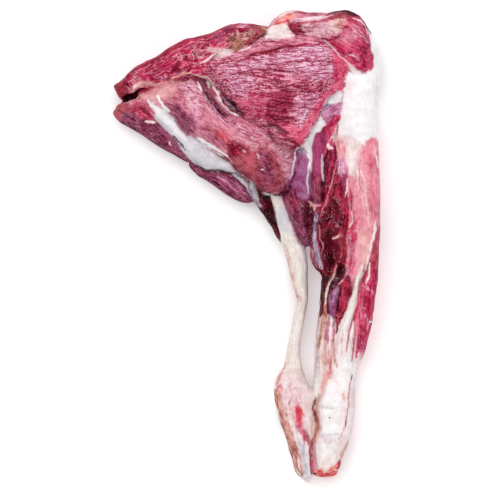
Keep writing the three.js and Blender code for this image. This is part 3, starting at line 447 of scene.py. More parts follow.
# Strokes painted on the shown side: pigment, how much of it, half width in mm, lift in mm, path in mm.
STROKES = [
    # rump strip and the tip of the thigh
    ("ruby", 0.7, 2, 0, [(-93, 124), (-85, 134), (-70, 142), (-50, 154.5), (-30, 160), (-14, 167)]),
    # painted shade: black in the gap between the two lobes of the tip, which is also sunk
    ("black", 1, 1.5, -2.2, [(-97, 110), (-91, 112), (-85, 115), (-81, 118), (-76, 119.5)]),
    ("rose", 0.6, 0.9, 0.2, [(-83, 133), (-77, 135), (-72, 138)]),
    ("rose", 0.6, 0.8, 0.2, [(-78, 130), (-72, 132), (-68, 135)]),
    ("rose", 0.5, 0.7, 0.2, [(-58, 147), (-48, 151), (-38, 154), (-30, 155)]),
    ("rose", 0.5, 0.7, 0.2, [(-66, 143), (-58, 145), (-54, 149)]),
    ("rose", 0.5, 0.7, 0.2, [(-56, 138), (-50, 141), (-46, 146)]),
    ("rose", 0.5, 0.7, 0.2, [(-70, 128), (-62, 132), (-56, 134)]),
    ("bone", 0.8, 0.7, 0.3, [(-34, 138), (-28, 142), (-23, 146)]),
    ("peach", 0.7, 0.9, 0.2, [(-31, 150), (-26, 149), (-21, 148.5)]),
    ("violet", 0.4, 1.4, 0.2, [(-68, 126), (-60, 127), (-54, 130), (-46, 134)]),
    ("plum", 0.7, 1.8, 0.2, [(-20, 161), (-14, 164), (-9, 167)]),
    ("bone", 0.85, 0.7, 0.3, [(-5, 147), (0, 149), (4, 150.5)]),
    ("maroon", 0.5, 0.9, -0.3, [(-12, 158), (-10, 153), (-11, 149)]),
    ("maroon", 0.6, 1, -0.3, [(8, 167), (14, 168), (18, 170)]),
    ("ruby", 0.7, 1.6, -0.2, [(-1, 153), (5, 158), (11, 164)]),
    ("peach", 0.8, 0.8, 0.3, [(-6.5, 162), (-5, 159)]),
    ("orchid", 0.7, 1.6, 0, [(-6, 166), (0, 166), (6, 165)]),
    ("redbrown", 0.7, 2.2, 0, [(2, 166), (7, 164.5), (11, 161.5)]),
    ("bone", 0.7, 1, 0.4, [(-86, 117), (-84, 122), (-79, 124)]),
    ("tan", 0.7, 0.8, -0.3, [(-83, 121), (-78, 122.5), (-72, 122)]),
    # belly flap and fat band
    ("maroon", 0.7, 1.6, 0, [(-100, 98), (-88, 91), (-76, 83), (-62, 74), (-48, 66), (-40, 60)]),
    ("mauve", 0.6, 0.8, 0.2, [(-94, 101), (-90, 100), (-87, 98.5)]),
    ("bone", 0.95, 1.3, 0.3, [(-77, 95.5), (-73, 95), (-69, 94)]),
    ("fat", 0.7, 1, 0.2, [(-58, 80), (-57, 77)]),
    ("rose", 0.5, 0.8, 0.2, [(-84, 106), (-78, 102), (-74, 98)]),
    ("rose", 0.5, 0.8, 0.2, [(-79, 108), (-73, 103), (-70, 99)]),
    ("maroon", 0.7, 1, -0.4, [(-56, 85), (-50, 79), (-46, 73)]),
    ("fat", 0.6, 2.8, 0.4, [(-74, 110), (-66, 101), (-58, 95), (-52, 88), (-45, 81)]),
    ("fat", 0.9, 1.2, 0.4, [(-67, 114), (-64, 110), (-62, 106), (-58, 102)]),
    ("fat", 0.8, 1.5, 0.2, [(-38, 83), (-30, 78), (-22, 73), (-14, 68)]),
    # painted shade: bluish-grey along the lower edge of the fat band
    ("mauve", 0.4, 1.6, -0.2, [(-45, 73), (-40, 67), (-36, 62), (-30, 58)]),
    ("fat", 0.8, 1, 0.2, [(-4, 55), (2, 50), (8, 44.5), (15, 40), (22, 39)]),
    ("maroon", 0.6, 0.9, -0.4, [(-40, 62), (-30, 57.5), (-18, 57.5), (-8, 56), (0, 49), (4, 41)]),
    ("maroon", 0.6, 1.2, 0, [(-40, 59), (-30, 52), (-18, 44), (-8, 38), (0, 34)]),
    ("orchid", 0.6, 0.9, 0.1, [(-24, 54), (-14, 49), (-6, 42)]),
    ("orchid", 0.5, 0.8, 0.1, [(-12, 52), (-5, 46), (0, 40)]),
    ("maroon", 0.6, 0.8, -0.2, [(-20, 56), (-8, 52), (0, 45)]),
    ("maroon", 0.6, 1, -0.3, [(-97, 104), (-90, 100), (-84, 96)]),
    # painted sheen: lilac streak on the belly flap
    ("lilac_sheen", 0.45, 0.7, 0.2, [(-86, 93), (-80, 91), (-74, 88)]),
    # membrane along the inner thigh; the first two maroon strokes are painted shadow beside it, also sunk
    ("maroon", 0.85, 1.8, -1.4, [(-17, 113), (-12, 108), (-7, 103), (-2, 100)]),
    ("maroon", 0.6, 1.6, -0.8, [(-33, 121), (-28, 114), (-23, 107), (-16, 100)]),
    ("mauve", 0.6, 0.9, 0.2, [(-20, 117), (-15, 110), (-9, 103)]),
    ("tan", 0.7, 1.2, 0.8, [(-56, 128), (-48, 131), (-40, 131.5)]),
    ("tendon", 0.7, 1, 0.9, [(-42, 131.5), (-36, 130), (-30, 127), (-25, 122), (-22, 114), (-17, 107),
        (-12, 102), (-7, 98.5)]),
    ("tan", 0.5, 0.9, 0.2, [(-38, 131), (-31, 128), (-26, 123)]),
    ("fat", 0.8, 1.3, 0.6, [(-23, 118), (-21, 114), (-19, 110)]),
    ("fat", 0.8, 0.9, 0.6, [(-10, 100.5), (-6, 98)]),
    ("bone", 0.75, 1.3, 0.7, [(-36, 125), (-35, 120), (-33.5, 117)]),
    ("bone", 0.65, 1, 0.6, [(-29, 124), (-27.5, 119.5)]),
    ("orchid", 0.7, 1, 0.5, [(-25, 108), (-22, 102)]),
    ("mauve", 0.6, 1, 0.4, [(-31, 116), (-27, 109)]),
    # inner thigh
    # painted highlights: the glossy lilac streaks on the inner thigh
    ("lilac_sheen", 0.8, 0.8, 0.2, [(-52, 122), (-47, 117), (-43, 111)]),
    ("lilac_sheen", 0.8, 0.8, 0.2, [(-46, 124), (-41, 118), (-37, 112)]),
    ("lilac_sheen", 0.7, 0.7, 0.2, [(-42, 112), (-36, 107), (-32, 101)]),
    ("lilac_sheen", 0.85, 1, 0.3, [(-27, 103), (-18, 97), (-10, 92)]),
    ("lilac_sheen", 0.85, 0.9, 0.3, [(-22, 99), (-12, 92), (-2, 87)]),
    ("lilac_sheen", 0.85, 1.2, 0.3, [(-14, 97), (-4, 91), (6, 86)]),
    ("lilac_sheen", 0.85, 1, 0.3, [(-6, 88), (4, 83), (12, 79)]),
    ("lilac_sheen", 0.8, 1, 0.3, [(2, 92), (10, 87), (18, 81)]),
    ("orchid", 0.85, 1.8, 0.5, [(-38.5, 104), (-37, 98), (-36, 91)]),
    # painted shadow of the fold, which is also sunk
    ("plum", 0.5, 1.6, -0.4, [(-41, 101), (-40, 94), (-39, 88)]),
    # painted glints: three small white highlights on the bulge
    ("fat", 0.6, 0.7, 0.2, [(-3.5, 73), (-1, 70)]),
    ("bone", 0.6, 0.7, 0.2, [(8, 70), (10, 66)]),
    ("bone", 0.6, 0.6, 0.2, [(11, 59), (14, 58.5)]),
    # painted shadow under the overhang of the inner thigh's lower edge, which is also sunk
    ("maroon", 0.6, 1.2, -0.4, [(-14, 69), (-10, 61.5), (0, 52.5), (9, 44.5), (16, 41), (26, 39)]),
    ("maroon", 0.6, 0.8, -0.6, [(31, 42), (34.5, 49), (37, 57)]),
    ("fat", 0.7, 0.7, 0.3, [(33, 51), (34.8, 56), (36, 61), (37.5, 69), (38.5, 76)]),
    ("redbrown", 0.6, 0.8, -0.3, [(18, 72), (26, 66), (34, 63)]),
    ("redbrown", 0.6, 0.8, -0.3, [(20, 60), (28, 57), (34, 56)]),
    # haunch
    ("ruby", 0.85, 1.2, -0.5, [(-8, 138), (2, 143), (10, 146), (26, 149.5), (49, 152.5)]),
    ("deep", 0.85, 0.8, -0.4, [(14, 136), (30, 137.5), (45, 139.5), (66, 140)]),
    ("deep", 0.85, 0.8, -0.4, [(-10, 130), (5, 132.5), (20, 133), (34, 132)]),
    ("deep", 0.6, 0.8, -0.4, [(-12, 122), (0, 122.5), (12, 123), (22, 124.5)]),
    ("deep", 0.85, 0.7, -0.4, [(38, 110), (46, 110.5), (55, 111)]),
    ("deep", 0.85, 0.7, -0.4, [(38, 105), (46, 104.5), (54, 102)]),
    ("maroon", 0.7, 2, -0.8, [(15, 91), (22, 89), (31, 85)]),
    ("deep", 0.7, 2, -0.4, [(17, 106), (18, 99), (16, 93)]),
    ("deep", 0.7, 1.6, -0.4, [(27, 84), (33, 81), (41, 75.5)]),
    ("crimson", 0.8, 2.2, 0, [(67, 139), (68, 131), (67, 124)]),
    # hip
    ("bone", 0.7, 0.65, 0.3, [(57, 158), (63, 152), (70, 145), (78, 137), (86, 131)]),
    ("deep", 0.8, 1, -0.4, [(57, 157), (62, 155.5), (67, 156.5), (71, 160)]),
    ("bone", 0.65, 1.1, 0.3, [(40, 171), (48, 172.5), (56, 174), (66, 175.5)]),
    ("redbrown", 0.85, 1.3, -0.2, [(38, 169), (50, 169.5), (57, 171.5), (67, 173)]),
    ("redbrown", 0.7, 0.8, 0, [(34, 176), (46, 177), (56, 177.5), (64, 177)]),
    ("maroon", 0.95, 1.7, 0, [(65, 177.5), (71, 179.5), (80, 177), (88, 174.5), (92, 170), (95, 162)]),
    ("bone", 0.7, 0.8, 0.2, [(80, 172.5), (86, 171), (90.5, 167), (92.5, 161)]),
    # painted highlights: the lilac glints on the hip
    ("lilac_sheen", 0.7, 1.4, 0.2, [(82, 157), (83, 163), (85, 166)]),
    ("lilac_sheen", 0.8, 1.8, 0.2, [(86.5, 160), (89, 157), (91.5, 154.5)]),
    ("lilac_sheen", 0.8, 0.9, 0.3, [(70, 145.5), (75, 143.5), (80, 145)]),
    ("lilac_sheen", 0.7, 1.6, 0.2, [(79, 146), (82, 143), (85, 140)]),
    ("maroon", 0.7, 0.8, -0.4, [(71, 147), (76, 145.5), (80, 148)]),
    ("deep", 0.6, 0.7, -0.3, [(42, 166), (48, 165)]),
    ("deep", 0.6, 0.7, -0.3, [(44, 163.5), (50, 162)]),
    ("blood", 0.7, 0.7, 0, [(20, 167.5), (26, 169.5), (33, 171)]),
    ("bone", 0.8, 0.7, 0.4, [(25, 174), (30, 176.5), (36, 177.3)]),
    ("redbrown", 0.8, 0.9, 0, [(37, 177), (48, 178), (58, 177.5)]),
    # knee and calf
    ("greyfat", 0.4, 2.5, 0, [(98, 130), (99, 115), (98, 100)]),
    ("greyfat", 0.85, 0.9, 0.2, [(47, 64), (46.5, 52), (47, 40)]),
    ("mauve", 0.7, 1.8, 0.1, [(38, 72), (43, 74), (46, 71)]),
    ("fat", 0.8, 0.9, 0.3, [(47, 60), (48.5, 66), (49, 76)]),
    ("greyfat", 0.6, 0.8, 0.3, [(57.5, 70), (58, 60), (58.5, 50)]),
    ("maroon", 0.85, 1.4, -0.7, [(58.5, 49), (58.5, 42), (57, 34)]),
    # painted shade: black in the gap beside the knee strap, which is also sunk
    ("black", 0.7, 0.8, -0.6, [(62, 78), (61, 71), (59.5, 66), (59.5, 58)]),
    ("bone", 0.95, 1.5, 0.4, [(61.5, 77.5), (63, 74.5), (65.5, 74)]),
    ("bone", 0.5, 1.1, 0.3, [(62, 78), (66, 86), (71, 96)]),
    ("salmon", 0.6, 0.5, 0.3, [(67.5, 63), (66, 52), (63, 42), (59.5, 32), (56, 24)]),
    # painted sheen: lilac streak on the knee strap
    ("lilac_sheen", 0.8, 1, 0.2, [(69, 65), (70, 58)]),
    ("greyfat", 0.7, 0.9, 0.2, [(73, 63), (74.5, 55)]),
    ("bone", 0.8, 0.9, 0.2, [(77, 52), (77, 44), (75, 38)]),
    ("crimson", 0.8, 1.2, 0, [(79, 46), (79, 38), (76.5, 33), (76, 26)]),
    ("salmon", 0.7, 1.1, 0.3, [(50, 31.5), (57, 31.5)]),
    ("peach", 0.6, 1.4, 0.2, [(47, 34), (50, 31), (52, 28)]),
    ("bone", 0.5, 1, 0.2, [(82, 60), (86, 51), (89.5, 43), (91.5, 32), (93, 16)]),
    ("blood", 0.5, 0.8, 0, [(70, 80), (71, 73)]),
    ("blood", 0.4, 0.8, 0, [(74, 76), (75, 70)]),
    # painted glint at the wedge
    ("fat", 0.7, 1, 0.2, [(88, 80), (90, 76)]),
    ("bone", 0.7, 0.7, 0.2, [(96.5, 76), (99, 68), (101, 60)]),
    ("scarlet", 0.6, 0.8, 0, [(102, 58), (102.5, 40), (101.5, 20)]),
    ("peach", 0.7, 1.2, 0.1, [(86, 60), (88, 40), (90, 20)]),
    ("rose", 0.5, 0.9, 0, [(92, 56), (94, 40), (95, 24)]),
    ("fat", 0.4, 0.9, 0.1, [(83, 70), (84, 56), (85, 44)]),
    ("bone", 0.6, 1.4, 0.2, [(77, 68), (79, 60), (80, 54)]),
    ("bone", 0.45, 1.2, 0.1, [(86, 58), (90, 50), (92, 42)]),
    ("crimson", 0.45, 0.5, 0, [(84, 64), (86, 50), (86.5, 36), (86, 22)]),
    ("scarlet", 0.5, 0.6, 0, [(93, 70), (95, 52), (96, 36), (96, 22)]),
    # shank
    ("mauve", 0.95, 1.7, 0.4, [(53.5, 26), (51.8, 17), (51.3, 7), (52.3, -1), (54.5, -9), (57.5, -17)]),
    ("rose", 0.7, 1.2, 0.2, [(49, -1), (50, -6), (49.5, -11)]),
    ("rose", 0.6, 0.6, 0.2, [(55, 17), (56.5, 8), (58.5, 0), (57, -8)]),
    ("tan", 0.85, 1, 0.4, [(65, 6.5), (68, 7), (70, 8.5)]),
    ("salmon", 0.8, 0.9, 0, [(77, 10), (77.2, 0), (76.5, -12)]),
    ("bone", 0.9, 0.9, 0.2, [(80, 28), (80, 20), (79.5, 14)]),
    ("bone", 0.35, 0.9, 0.1, [(75, 11.5), (80, 11.5), (85, 12)]),
    # painted sheen: lilac streaks on the shank
    ("lilac_sheen", 0.9, 0.9, 0.2, [(79, 8), (80, 3), (79, -3), (78.5, -10)]),
    ("lilac_sheen", 0.9, 0.9, 0.2, [(81.5, 2), (81, -6), (80, -14), (78, -19)]),
    ("bone", 0.9, 1.1, 0.2, [(97.5, 20), (96.3, 10), (94.3, 0), (92.5, -9), (90.5, -17)]),
    ("bone", 0.8, 0.9, 0.2, [(94, -12), (93, -20), (91, -27)]),
    ("tendon", 1, 1.7, 0.5, [(88, -12), (86, -20), (84, -28), (82, -36), (79.8, -44), (76.5, -52),
        (72, -60), (69, -68)]),
    ("bone", 0.8, 0.9, 0.4, [(86, -19), (83.5, -28), (81.5, -37), (79, -46)]),
    ("tan", 0.9, 1, 0.4, [(68, -13), (67.5, -19), (65, -24), (62.5, -29), (61, -36), (60, -46),
        (59.5, -58)]),
    ("bone", 0.7, 0.7, 0.4, [(67, -20), (62.3, -30), (60, -44)]),
    ("maroon", 0.85, 1.6, -0.3, [(56.8, -19), (56.8, -34), (56, -46), (55.6, -54)]),
    # painted highlight: lilac glint along the edge of the shin muscle
    ("lilac_sheen", 0.85, 0.9, 0.3, [(77, -15), (75.5, -21), (73, -25), (70, -29)]),
    # painted highlight: lavender on the left side of the violet spindle
    ("mauve", 0.6, 0.8, 0.3, [(70, -29), (67.5, -35), (66, -42)]),
    ("black", 0.85, 0.8, -0.7, [(71.5, -30), (70.3, -38), (68.6, -49)]),
    ("rose", 0.8, 0.8, 0.2, [(88.5, -27), (87.5, -40), (87.5, -55)]),
    # painted sheen: lilac streak on the shin
    ("lilac_sheen", 0.7, 1.2, 0.3, [(90, -29), (93, -31), (97, -36)]),
    ("bone", 0.8, 0.8, 0.3, [(92, -57.5), (95, -56.5)]),
    ("ruby", 0.8, 0.8, 0, [(70, -58), (68, -66)]),
    ("rose", 0.8, 0.9, 0, [(80, -56), (77.5, -66), (76, -80)]),
    ("rose", 0.6, 0.8, 0, [(73, -63), (72.5, -82)]),
    ("rose", 0.8, 1, 0, [(84, -62), (82, -73), (80, -87)]),
    ("fat", 0.7, 0.9, 0.2, [(82, -56), (80, -68), (78.5, -82)]),
    ("crimson", 0.85, 1, 0, [(87, -66), (85, -75), (83.5, -84)]),
    ("rose", 0.7, 0.9, 0, [(65.5, -57), (66.5, -72)]),
    ("fat", 0.6, 1, 0.2, [(64, -52), (64.5, -64), (63.5, -78)]),
    ("mauve", 0.4, 1.4, 0, [(55.5, -56), (54.5, -70), (53.5, -90)]),
    ("brown", 0.3, 0.9, -0.1, [(61.5, -56), (61, -70), (60.5, -86)]),
    ("tan", 0.6, 1.2, 0, [(66.5, -72), (68, -86), (70, -92)]),
    # painted sheen: lilac streak near the shank's right edge
    ("lilac_sheen", 0.7, 0.9, 0.2, [(90, -50), (92.5, -57), (91.5, -64)]),
    ("brown", 0.55, 1.4, 0, [(57.8, -49), (57.8, -57), (56.5, -66), (55.2, -76)]),
    ("rose", 0.6, 1.5, 0, [(62, -55), (62, -66), (62.5, -74)]),
    # tendon and hock
    # painted shade: blue-grey on the pale tendon
    ("greyfat", 0.95, 3.4, 0, [(25, 30), (29, 18), (33, 10)]),
    ("tan", 0.5, 2.6, 0, [(29, 2), (32.5, -12), (36, -27), (38.5, -38)]),
    # painted shade: grey along the tendon's right side
    ("greyfat", 0.6, 1.4, 0, [(43, 1), (45.5, -12), (46.5, -26)]),
    ("tan", 0.5, 2, 0, [(39, -38), (42, -42)]),
    ("mauve", 0.4, 0.7, 0, [(40, -43), (42, -46)]),
    ("greyfat", 0.3, 0.9, 0, [(43.5, -56), (41, -76), (41, -90)]),
    ("tan", 0.5, 2.6, 0, [(62.5, -80), (64, -93), (61, -103), (57, -111), (53.5, -118)]),
    ("scarlet", 0.55, 1.6, 0, [(63.5, -88), (63.5, -95), (61.5, -101)]),
    ("mauve", 0.4, 2.4, 0, [(54, -84), (53, -100), (51.3, -109)]),
    ("tan", 0.6, 1.2, 0, [(32, -88), (26, -97), (23, -105)]),
    ("tan", 0.9, 3, 0, [(23, -109), (25, -118), (28.5, -130), (32, -142), (35.8, -156), (39.5, -170)]),
    ("brown", 0.7, 0.9, 0, [(22, -110), (23.6, -118), (26.8, -130), (30.5, -142), (34.3, -156), (38, -170),
        (41, -178)]),
    ("tan", 0.7, 1.2, 0, [(38.5, -152), (41, -163), (43, -174)]),
    ("plum", 0.4, 0.8, 0, [(35, -112), (32.5, -119), (34, -126)]),
    ("maroon", 0.7, 0.8, -0.4, [(52, -120), (53, -129), (53.8, -135), (52, -143)]),
    ("brown", 0.8, 1, -0.6, [(52.5, -114), (51.8, -123), (53, -129), (54, -136), (52, -144), (49.5, -152),
        (48.8, -160)]),
    ("maroon", 0.8, 1, -0.5, [(48.5, -154), (48.8, -160), (49.6, -168), (50, -174)]),
    ("crimson", 0.6, 1.2, -0.2, [(49.5, -156), (50.5, -165), (50.5, -172)]),
    ("rose", 0.6, 0.7, -0.2, [(79.8, -100), (78.5, -105), (77.5, -115), (77, -125), (75.5, -135),
        (73.5, -141), (70.5, -147)]),
    ("plum", 0.7, 0.7, -0.2, [(80.5, -97), (79.8, -101)]),
    ("plum", 0.8, 0.7, -0.2, [(76.8, -123), (75.6, -136)]),
    ("greyfat", 0.6, 1, -0.3, [(54.5, -122), (60, -121.5), (70, -122.5)]),
    ("greyfat", 0.6, 1, -0.3, [(57, -143.5), (64, -142.5), (70.5, -142)]),
    ("maroon", 0.7, 0.9, -0.2, [(63.3, -129), (64.5, -129)]),
    ("peach", 0.6, 1.4, 0, [(73.5, -110), (74.5, -118)]),
    ("tan", 0.8, 1.6, 0, [(79, -147), (74.5, -156), (72, -163)]),
    ("crimson", 0.8, 0.9, 0, [(71, -162), (70.3, -170)]),
    ("blood", 0.8, 0.9, 0, [(54, -176), (60, -175.5), (68, -174)]),
    ("maroon", 0.8, 0.9, -0.6, [(51.7, -173), (53, -174.5)]),
    ("greyfat", 0.5, 0.6, 0.3, [(6, 45), (7, 40), (10, 34)]),
    ("blood", 0.5, 1.8, 0, [(38.5, -121), (40, -126), (41, -134)]),
    ("blood", 0.4, 1.2, 0, [(41, -122), (42.5, -126), (44.5, -128)]),
    ("crimson", 0.55, 1.6, 0, [(40.5, -132), (41, -138), (44, -145)]),
    ("rose", 0.6, 1, 0, [(43, -141), (46, -146), (46.5, -152)]),
    ("peach", 0.5, 1.8, 0, [(63.5, -92), (61, -102), (57, -110)]),
    ("blood", 0.4, 0.7, 0, [(35, -124), (39, -126), (44.5, -123)]),
    ("blood", 0.4, 0.7, 0, [(36.5, -131), (39.5, -127), (41, -119)]),
    ("tendon", 0.3, 0.8, 0, [(26.5, -116), (30, -129), (33.5, -141)]),
    ("tan", 0.6, 1.6, 0, [(31, -133), (34.5, -144), (37.5, -153)]),
    ("redbrown", 0.6, 2.4, 0, [(44.5, -141), (47.5, -146), (49, -151), (49.5, -156)]),
    ("crimson", 0.5, 0.7, 0, [(44, -143), (46.5, -150)]),
    ("bone", 0.6, 0.7, 0, [(45.5, -147), (47.5, -151.5)]),
    ("brown", 0.6, 1.7, 0, [(34.5, -148), (37, -158), (39.2, -166), (42, -175)]),
    ("blood", 0.7, 1.6, 0, [(55, -173.5), (60, -174.5), (65, -172), (70, -168)]),
    # painted shade: maroon at the edge of the hollow by the tendon's root
    ("maroon", 0.8, 1.4, -0.2, [(9, 45), (11, 38), (14, 31)]),
    ("bone", 0.7, 0.8, 0.2, [(62, -168.5), (63.5, -171.5)]),
    ("bone", 0.6, 0.7, 0.2, [(67, -168), (68, -171)]),
]


def value_noise(places, size, seed):
    """Smooth random values from -1 to 1 at the places, with features of about the given size."""
    scaled = places / np.asarray(size, float)
    cell = np.floor(scaled).astype(np.int64)
    share = scaled - cell
    share = share * share * (3 - 2 * share)
    total = np.zeros(len(places))
    for corner in product((0, 1), repeat=3):
        mixed = ((cell + corner) * HASH_AXES).sum(axis=1) ^ (seed * HASH_SEED)
        for shift, factor in HASH_ROUNDS:
            mixed = ((mixed ^ (mixed >> shift)) * factor) & HASH_BITS
        weight = np.prod(np.where(corner, share, 1 - share), axis=1)
        total += weight * ((mixed >> 8) & VALUE_BITS) / VALUE_BITS
    return total * 2 - 1


def layered_noise(places, layers):
    """The sum of several noises, each given as its share, size in mm and seed."""
    return sum(share * value_noise(places, size, seed) for share, size, seed in layers)


def smooth_step(low, high, values):
    """0 at low and beyond, 1 at high and beyond, smooth between; low may be the larger of the two."""
    share = np.clip((values - low) / (high - low), 0, 1)
    return share * share * (3 - 2 * share)


def path_distance(path, places):
    """Distance of each place from a path in mm, and how far along the path its nearest point is,
    from 0 to 1."""
    path = np.asarray(path, float)
    lengths = np.linalg.norm(np.diff(path, axis=0), axis=1)
    starts = np.concatenate(([0], np.cumsum(lengths)))
    best = np.full(len(places), np.inf)
    along = np.zeros(len(places))
    for i, length in enumerate(lengths):
        step = (path[i + 1] - path[i]) / max(length, TINY)
        run = np.clip((places - path[i]) @ step, 0, length)
        gap = np.linalg.norm(places - path[i] - run[:, None] * step, axis=1)
        nearer = gap < best
        best[nearer] = gap[nearer]
        along[nearer] = (starts[i] + run[nearer]) / starts[-1]
    return best, along


def inside_distance(outline, places):
    """Distance of each place from a closed outline in mm, positive inside."""
    closed = np.asarray(list(outline) + [outline[0]], float)
    distance, _ = path_distance(closed, places)
    within = np.zeros(len(places), bool)
    for (x0, y0), (x1, y1) in zip(closed[:-1], closed[1:]):
        crosses = (places[:, 1] < y0) != (places[:, 1] < y1)
        side = (x1 - x0) * (places[:, 1] - y0) / ((y1 - y0) or TINY) + x0
        within ^= crosses & (places[:, 0] < side)
    return np.where(within, distance, -distance)


class Mass:
    """One muscle, fat or bone form, measured in slices across it."""

    def __init__(self, name, thicknesses):
        self.pigment, self.axis, part, self.bottom, end_nose, slices = MASSES[name]
        self.straight = STRAIGHT_FIBRES.get(name, 0)
        rows = np.array(sorted(slices), float)
        self.at, self.low, self.high = rows[:, 0], rows[:, 1], rows[:, 2]
        self.top = rows[:, 3] * thicknesses[part]
        self.length = self.at[-1] - self.at[0]
        longest = self.length * LONGEST_NOSE
        noses = [min(high - low, longest) for _, low, high, _ in (slices[0], slices[-1])]
        noses[1] = end_nose or noses[1]
        self.noses = noses if slices[0][0] < slices[-1][0] else noses[::-1]
        self.reach = float(np.mean(self.high - self.low) / 2)

    def column(self, values, at):
        """A measured column at any place along the axis, on a smooth curve through the slices."""
        i = np.clip(np.searchsorted(self.at, at) - 1, 0, len(self.at) - 2)
        slopes = np.empty(len(values))
        slopes[1:-1] = (values[2:] - values[:-2]) / (self.at[2:] - self.at[:-2])
        slopes[[0, -1]] = (np.diff(values) / np.diff(self.at))[[0, -1]]
        span = self.at[i + 1] - self.at[i]
        share = (at - self.at[i]) / span
        rise = values[i + 1] - values[i]
        start = slopes[i] * span - rise
        end = rise - slopes[i + 1] * span
        return values[i] + rise * share + share * (1 - share) * (start * (1 - share) + end * share)

    def section(self, at):
        """Middle, half width, level and half height of the section at places along the axis."""
        low, high, top = (self.column(values, at) for values in (self.low, self.high, self.top))
        ends = np.stack([(at - self.at[0]) / self.noses[0], (self.at[-1] - at) / self.noses[1]])
        share = np.sqrt(1 - (1 - np.clip(ends, 0, 1)) ** 2).clip(TIP_SHARE).min(axis=0)
        half_width = (high - low) / 2 * share
        half_height = (top - self.bottom) / 2 * share
        return (low + high) / 2, half_width, (top + self.bottom) / 2, half_height

    def local(self, places):
        """Rough distance of each place from the surface in mm, and its places along and across the mass."""
        at, across = (places[:, 0], places[:, 1]) if self.axis == "x" else (places[:, 1], places[:, 0])
        held = np.clip(at, self.at[0], self.at[-1])
        middle, half_width, level, half_height = self.section(held)
        sideways = (across - middle) / half_width
        upward = (places[:, 2] - level) / half_height
        radius = np.abs(sideways) ** SECTION_POWER + np.abs(upward) ** SECTION_POWER
        radius = radius ** (1 / SECTION_POWER)
        gap = (radius - 1) * np.minimum(half_width, half_height) + np.abs(at - held)
        return gap, at, sideways * self.reach * (1 - self.straight) + across * self.straight

    def loft(self):
        """Corners and faces of the closed form, kept above the table."""
        steps = max(FEWEST_RINGS, round(self.length / RING_STEP))
        at = self.at[0] + self.length * (1 - np.cos(np.pi * np.arange(steps + 1) / steps)) / 2
        middle, half_width, level, half_height = self.section(at)
        angle = 2 * np.pi * np.arange(RING_POINTS) / RING_POINTS * (1 if self.axis == "x" else -1)
        waves = (np.cos(angle), np.sin(angle))
        sideways, upward = (np.sign(wave) * np.abs(wave) ** (2 / SECTION_POWER) for wave in waves)
        across = middle[:, None] + half_width[:, None] * sideways
        height = np.maximum(level[:, None] + half_height[:, None] * upward, 0)
        along = np.broadcast_to(at[:, None], across.shape)
        order = (along, across, height) if self.axis == "x" else (across, along, height)
        corners = np.stack(order, axis=-1).reshape(-1, 3)
        faces = [tuple(reversed(range(RING_POINTS)))]
        last_ring = steps * RING_POINTS
        for ring in range(0, last_ring, RING_POINTS):
            above = ring + RING_POINTS
            for j in range(RING_POINTS):
                k = (j + 1) % RING_POINTS
                faces.append((ring + j, ring + k, above + k, above + j))
        faces.append(tuple(range(last_ring, last_ring + RING_POINTS)))
        return corners, faces


def evaluated(mesh, kind, settings, group=None):
    """The mesh after one modifier, which may act on a group of corners."""
    holder = bpy.data.objects.new("holder", mesh)
    bpy.context.scene.collection.objects.link(holder)
    modifier = holder.modifiers.new(kind, kind)
    if group is not None:
        holder.vertex_groups.new(name="group").add(group.tolist(), 1.0, "REPLACE")
        modifier.vertex_group = "group"
    for name, value in settings.items():
        setattr(modifier, name, value)
    shown = holder.evaluated_get(bpy.context.evaluated_depsgraph_get())
    made = bpy.data.meshes.new_from_object(shown)
    bpy.data.objects.remove(holder)
    bpy.data.meshes.remove(mesh)
    return made


def vectors_of(items, name):
    """One vector of each item, as rows."""
    flat = np.empty(len(items) * 3)
    items.foreach_get(name, flat)
    return flat.reshape(-1, 3)


def place_corners(mesh, corners):
    """Moves the corners of the mesh."""
    mesh.vertices.foreach_set("co", np.ascontiguousarray(corners, np.float32).ravel())
    mesh.update()


def relaxed(mesh):
    """The corners of the mesh, each drawn towards the middle of its neighbours."""
    corners = vectors_of(mesh.vertices, "co")
    edges = np.empty(len(mesh.edges) * 2, np.int32)
    mesh.edges.foreach_get("vertices", edges)
    ends = np.concatenate((edges[::2], edges[1::2]))
    others = np.concatenate((edges[1::2], edges[::2]))
    counts = np.bincount(ends, minlength=len(corners))[:, None]
    for _ in range(RELAX_ROUNDS):
        sums = np.stack([np.bincount(ends, corners[others, k], len(corners)) for k in range(3)], axis=1)
        corners = corners + RELAX_SHARE * (sums / counts - corners)
    return corners


def fused_mesh(masses, voxel):
    """All the masses grown together into one even mesh in mm, with larger faces underneath."""
    corners, faces, count = [], [], 0
    for mass in masses:
        points, polygons = mass.loft()
        corners.append(points)
        faces += [tuple(count + k for k in polygon) for polygon in polygons]
        count += len(points)
    rough = bpy.data.meshes.new("leg_rough")
    rough.from_pydata(np.concatenate(corners).tolist(), [], faces)
    mesh = evaluated(rough, "REMESH", {"mode": "VOXEL", "voxel_size": voxel})
    corners = relaxed(mesh)
    corners[:, 2] = np.where(corners[:, 2] < TABLE_SNAP, 0, corners[:, 2])
    place_corners(mesh, corners)
    underneath = np.flatnonzero(vectors_of(mesh.vertex_normals, "vector")[:, 2] < UNDERSIDE)
    mesh.calc_loop_triangles()
    ratio = min(1.0, MOST_TRIANGLES / len(mesh.loop_triangles))
    mesh = evaluated(mesh, "DECIMATE", {"ratio": ratio}, underneath)
    mesh.name = "leg_flesh"
    return mesh


class Coat:
    """Pigment weights of each corner, and the lift of the painted relief in mm."""

    def __init__(self, count):
        self.weights = np.zeros((count, len(PIGMENT_NAMES)))
        self.lift = np.zeros(count)

    def paint(self, pigment, amount, cover, height=0):
        """Lays an amount of a pigment over what is there, and lifts the surface, where cover is above 0."""
        self.weights *= (1 - amount * cover)[:, None]
        self.weights[:, PIGMENT_NAMES.index(pigment)] += amount * cover
        self.lift += height * cover


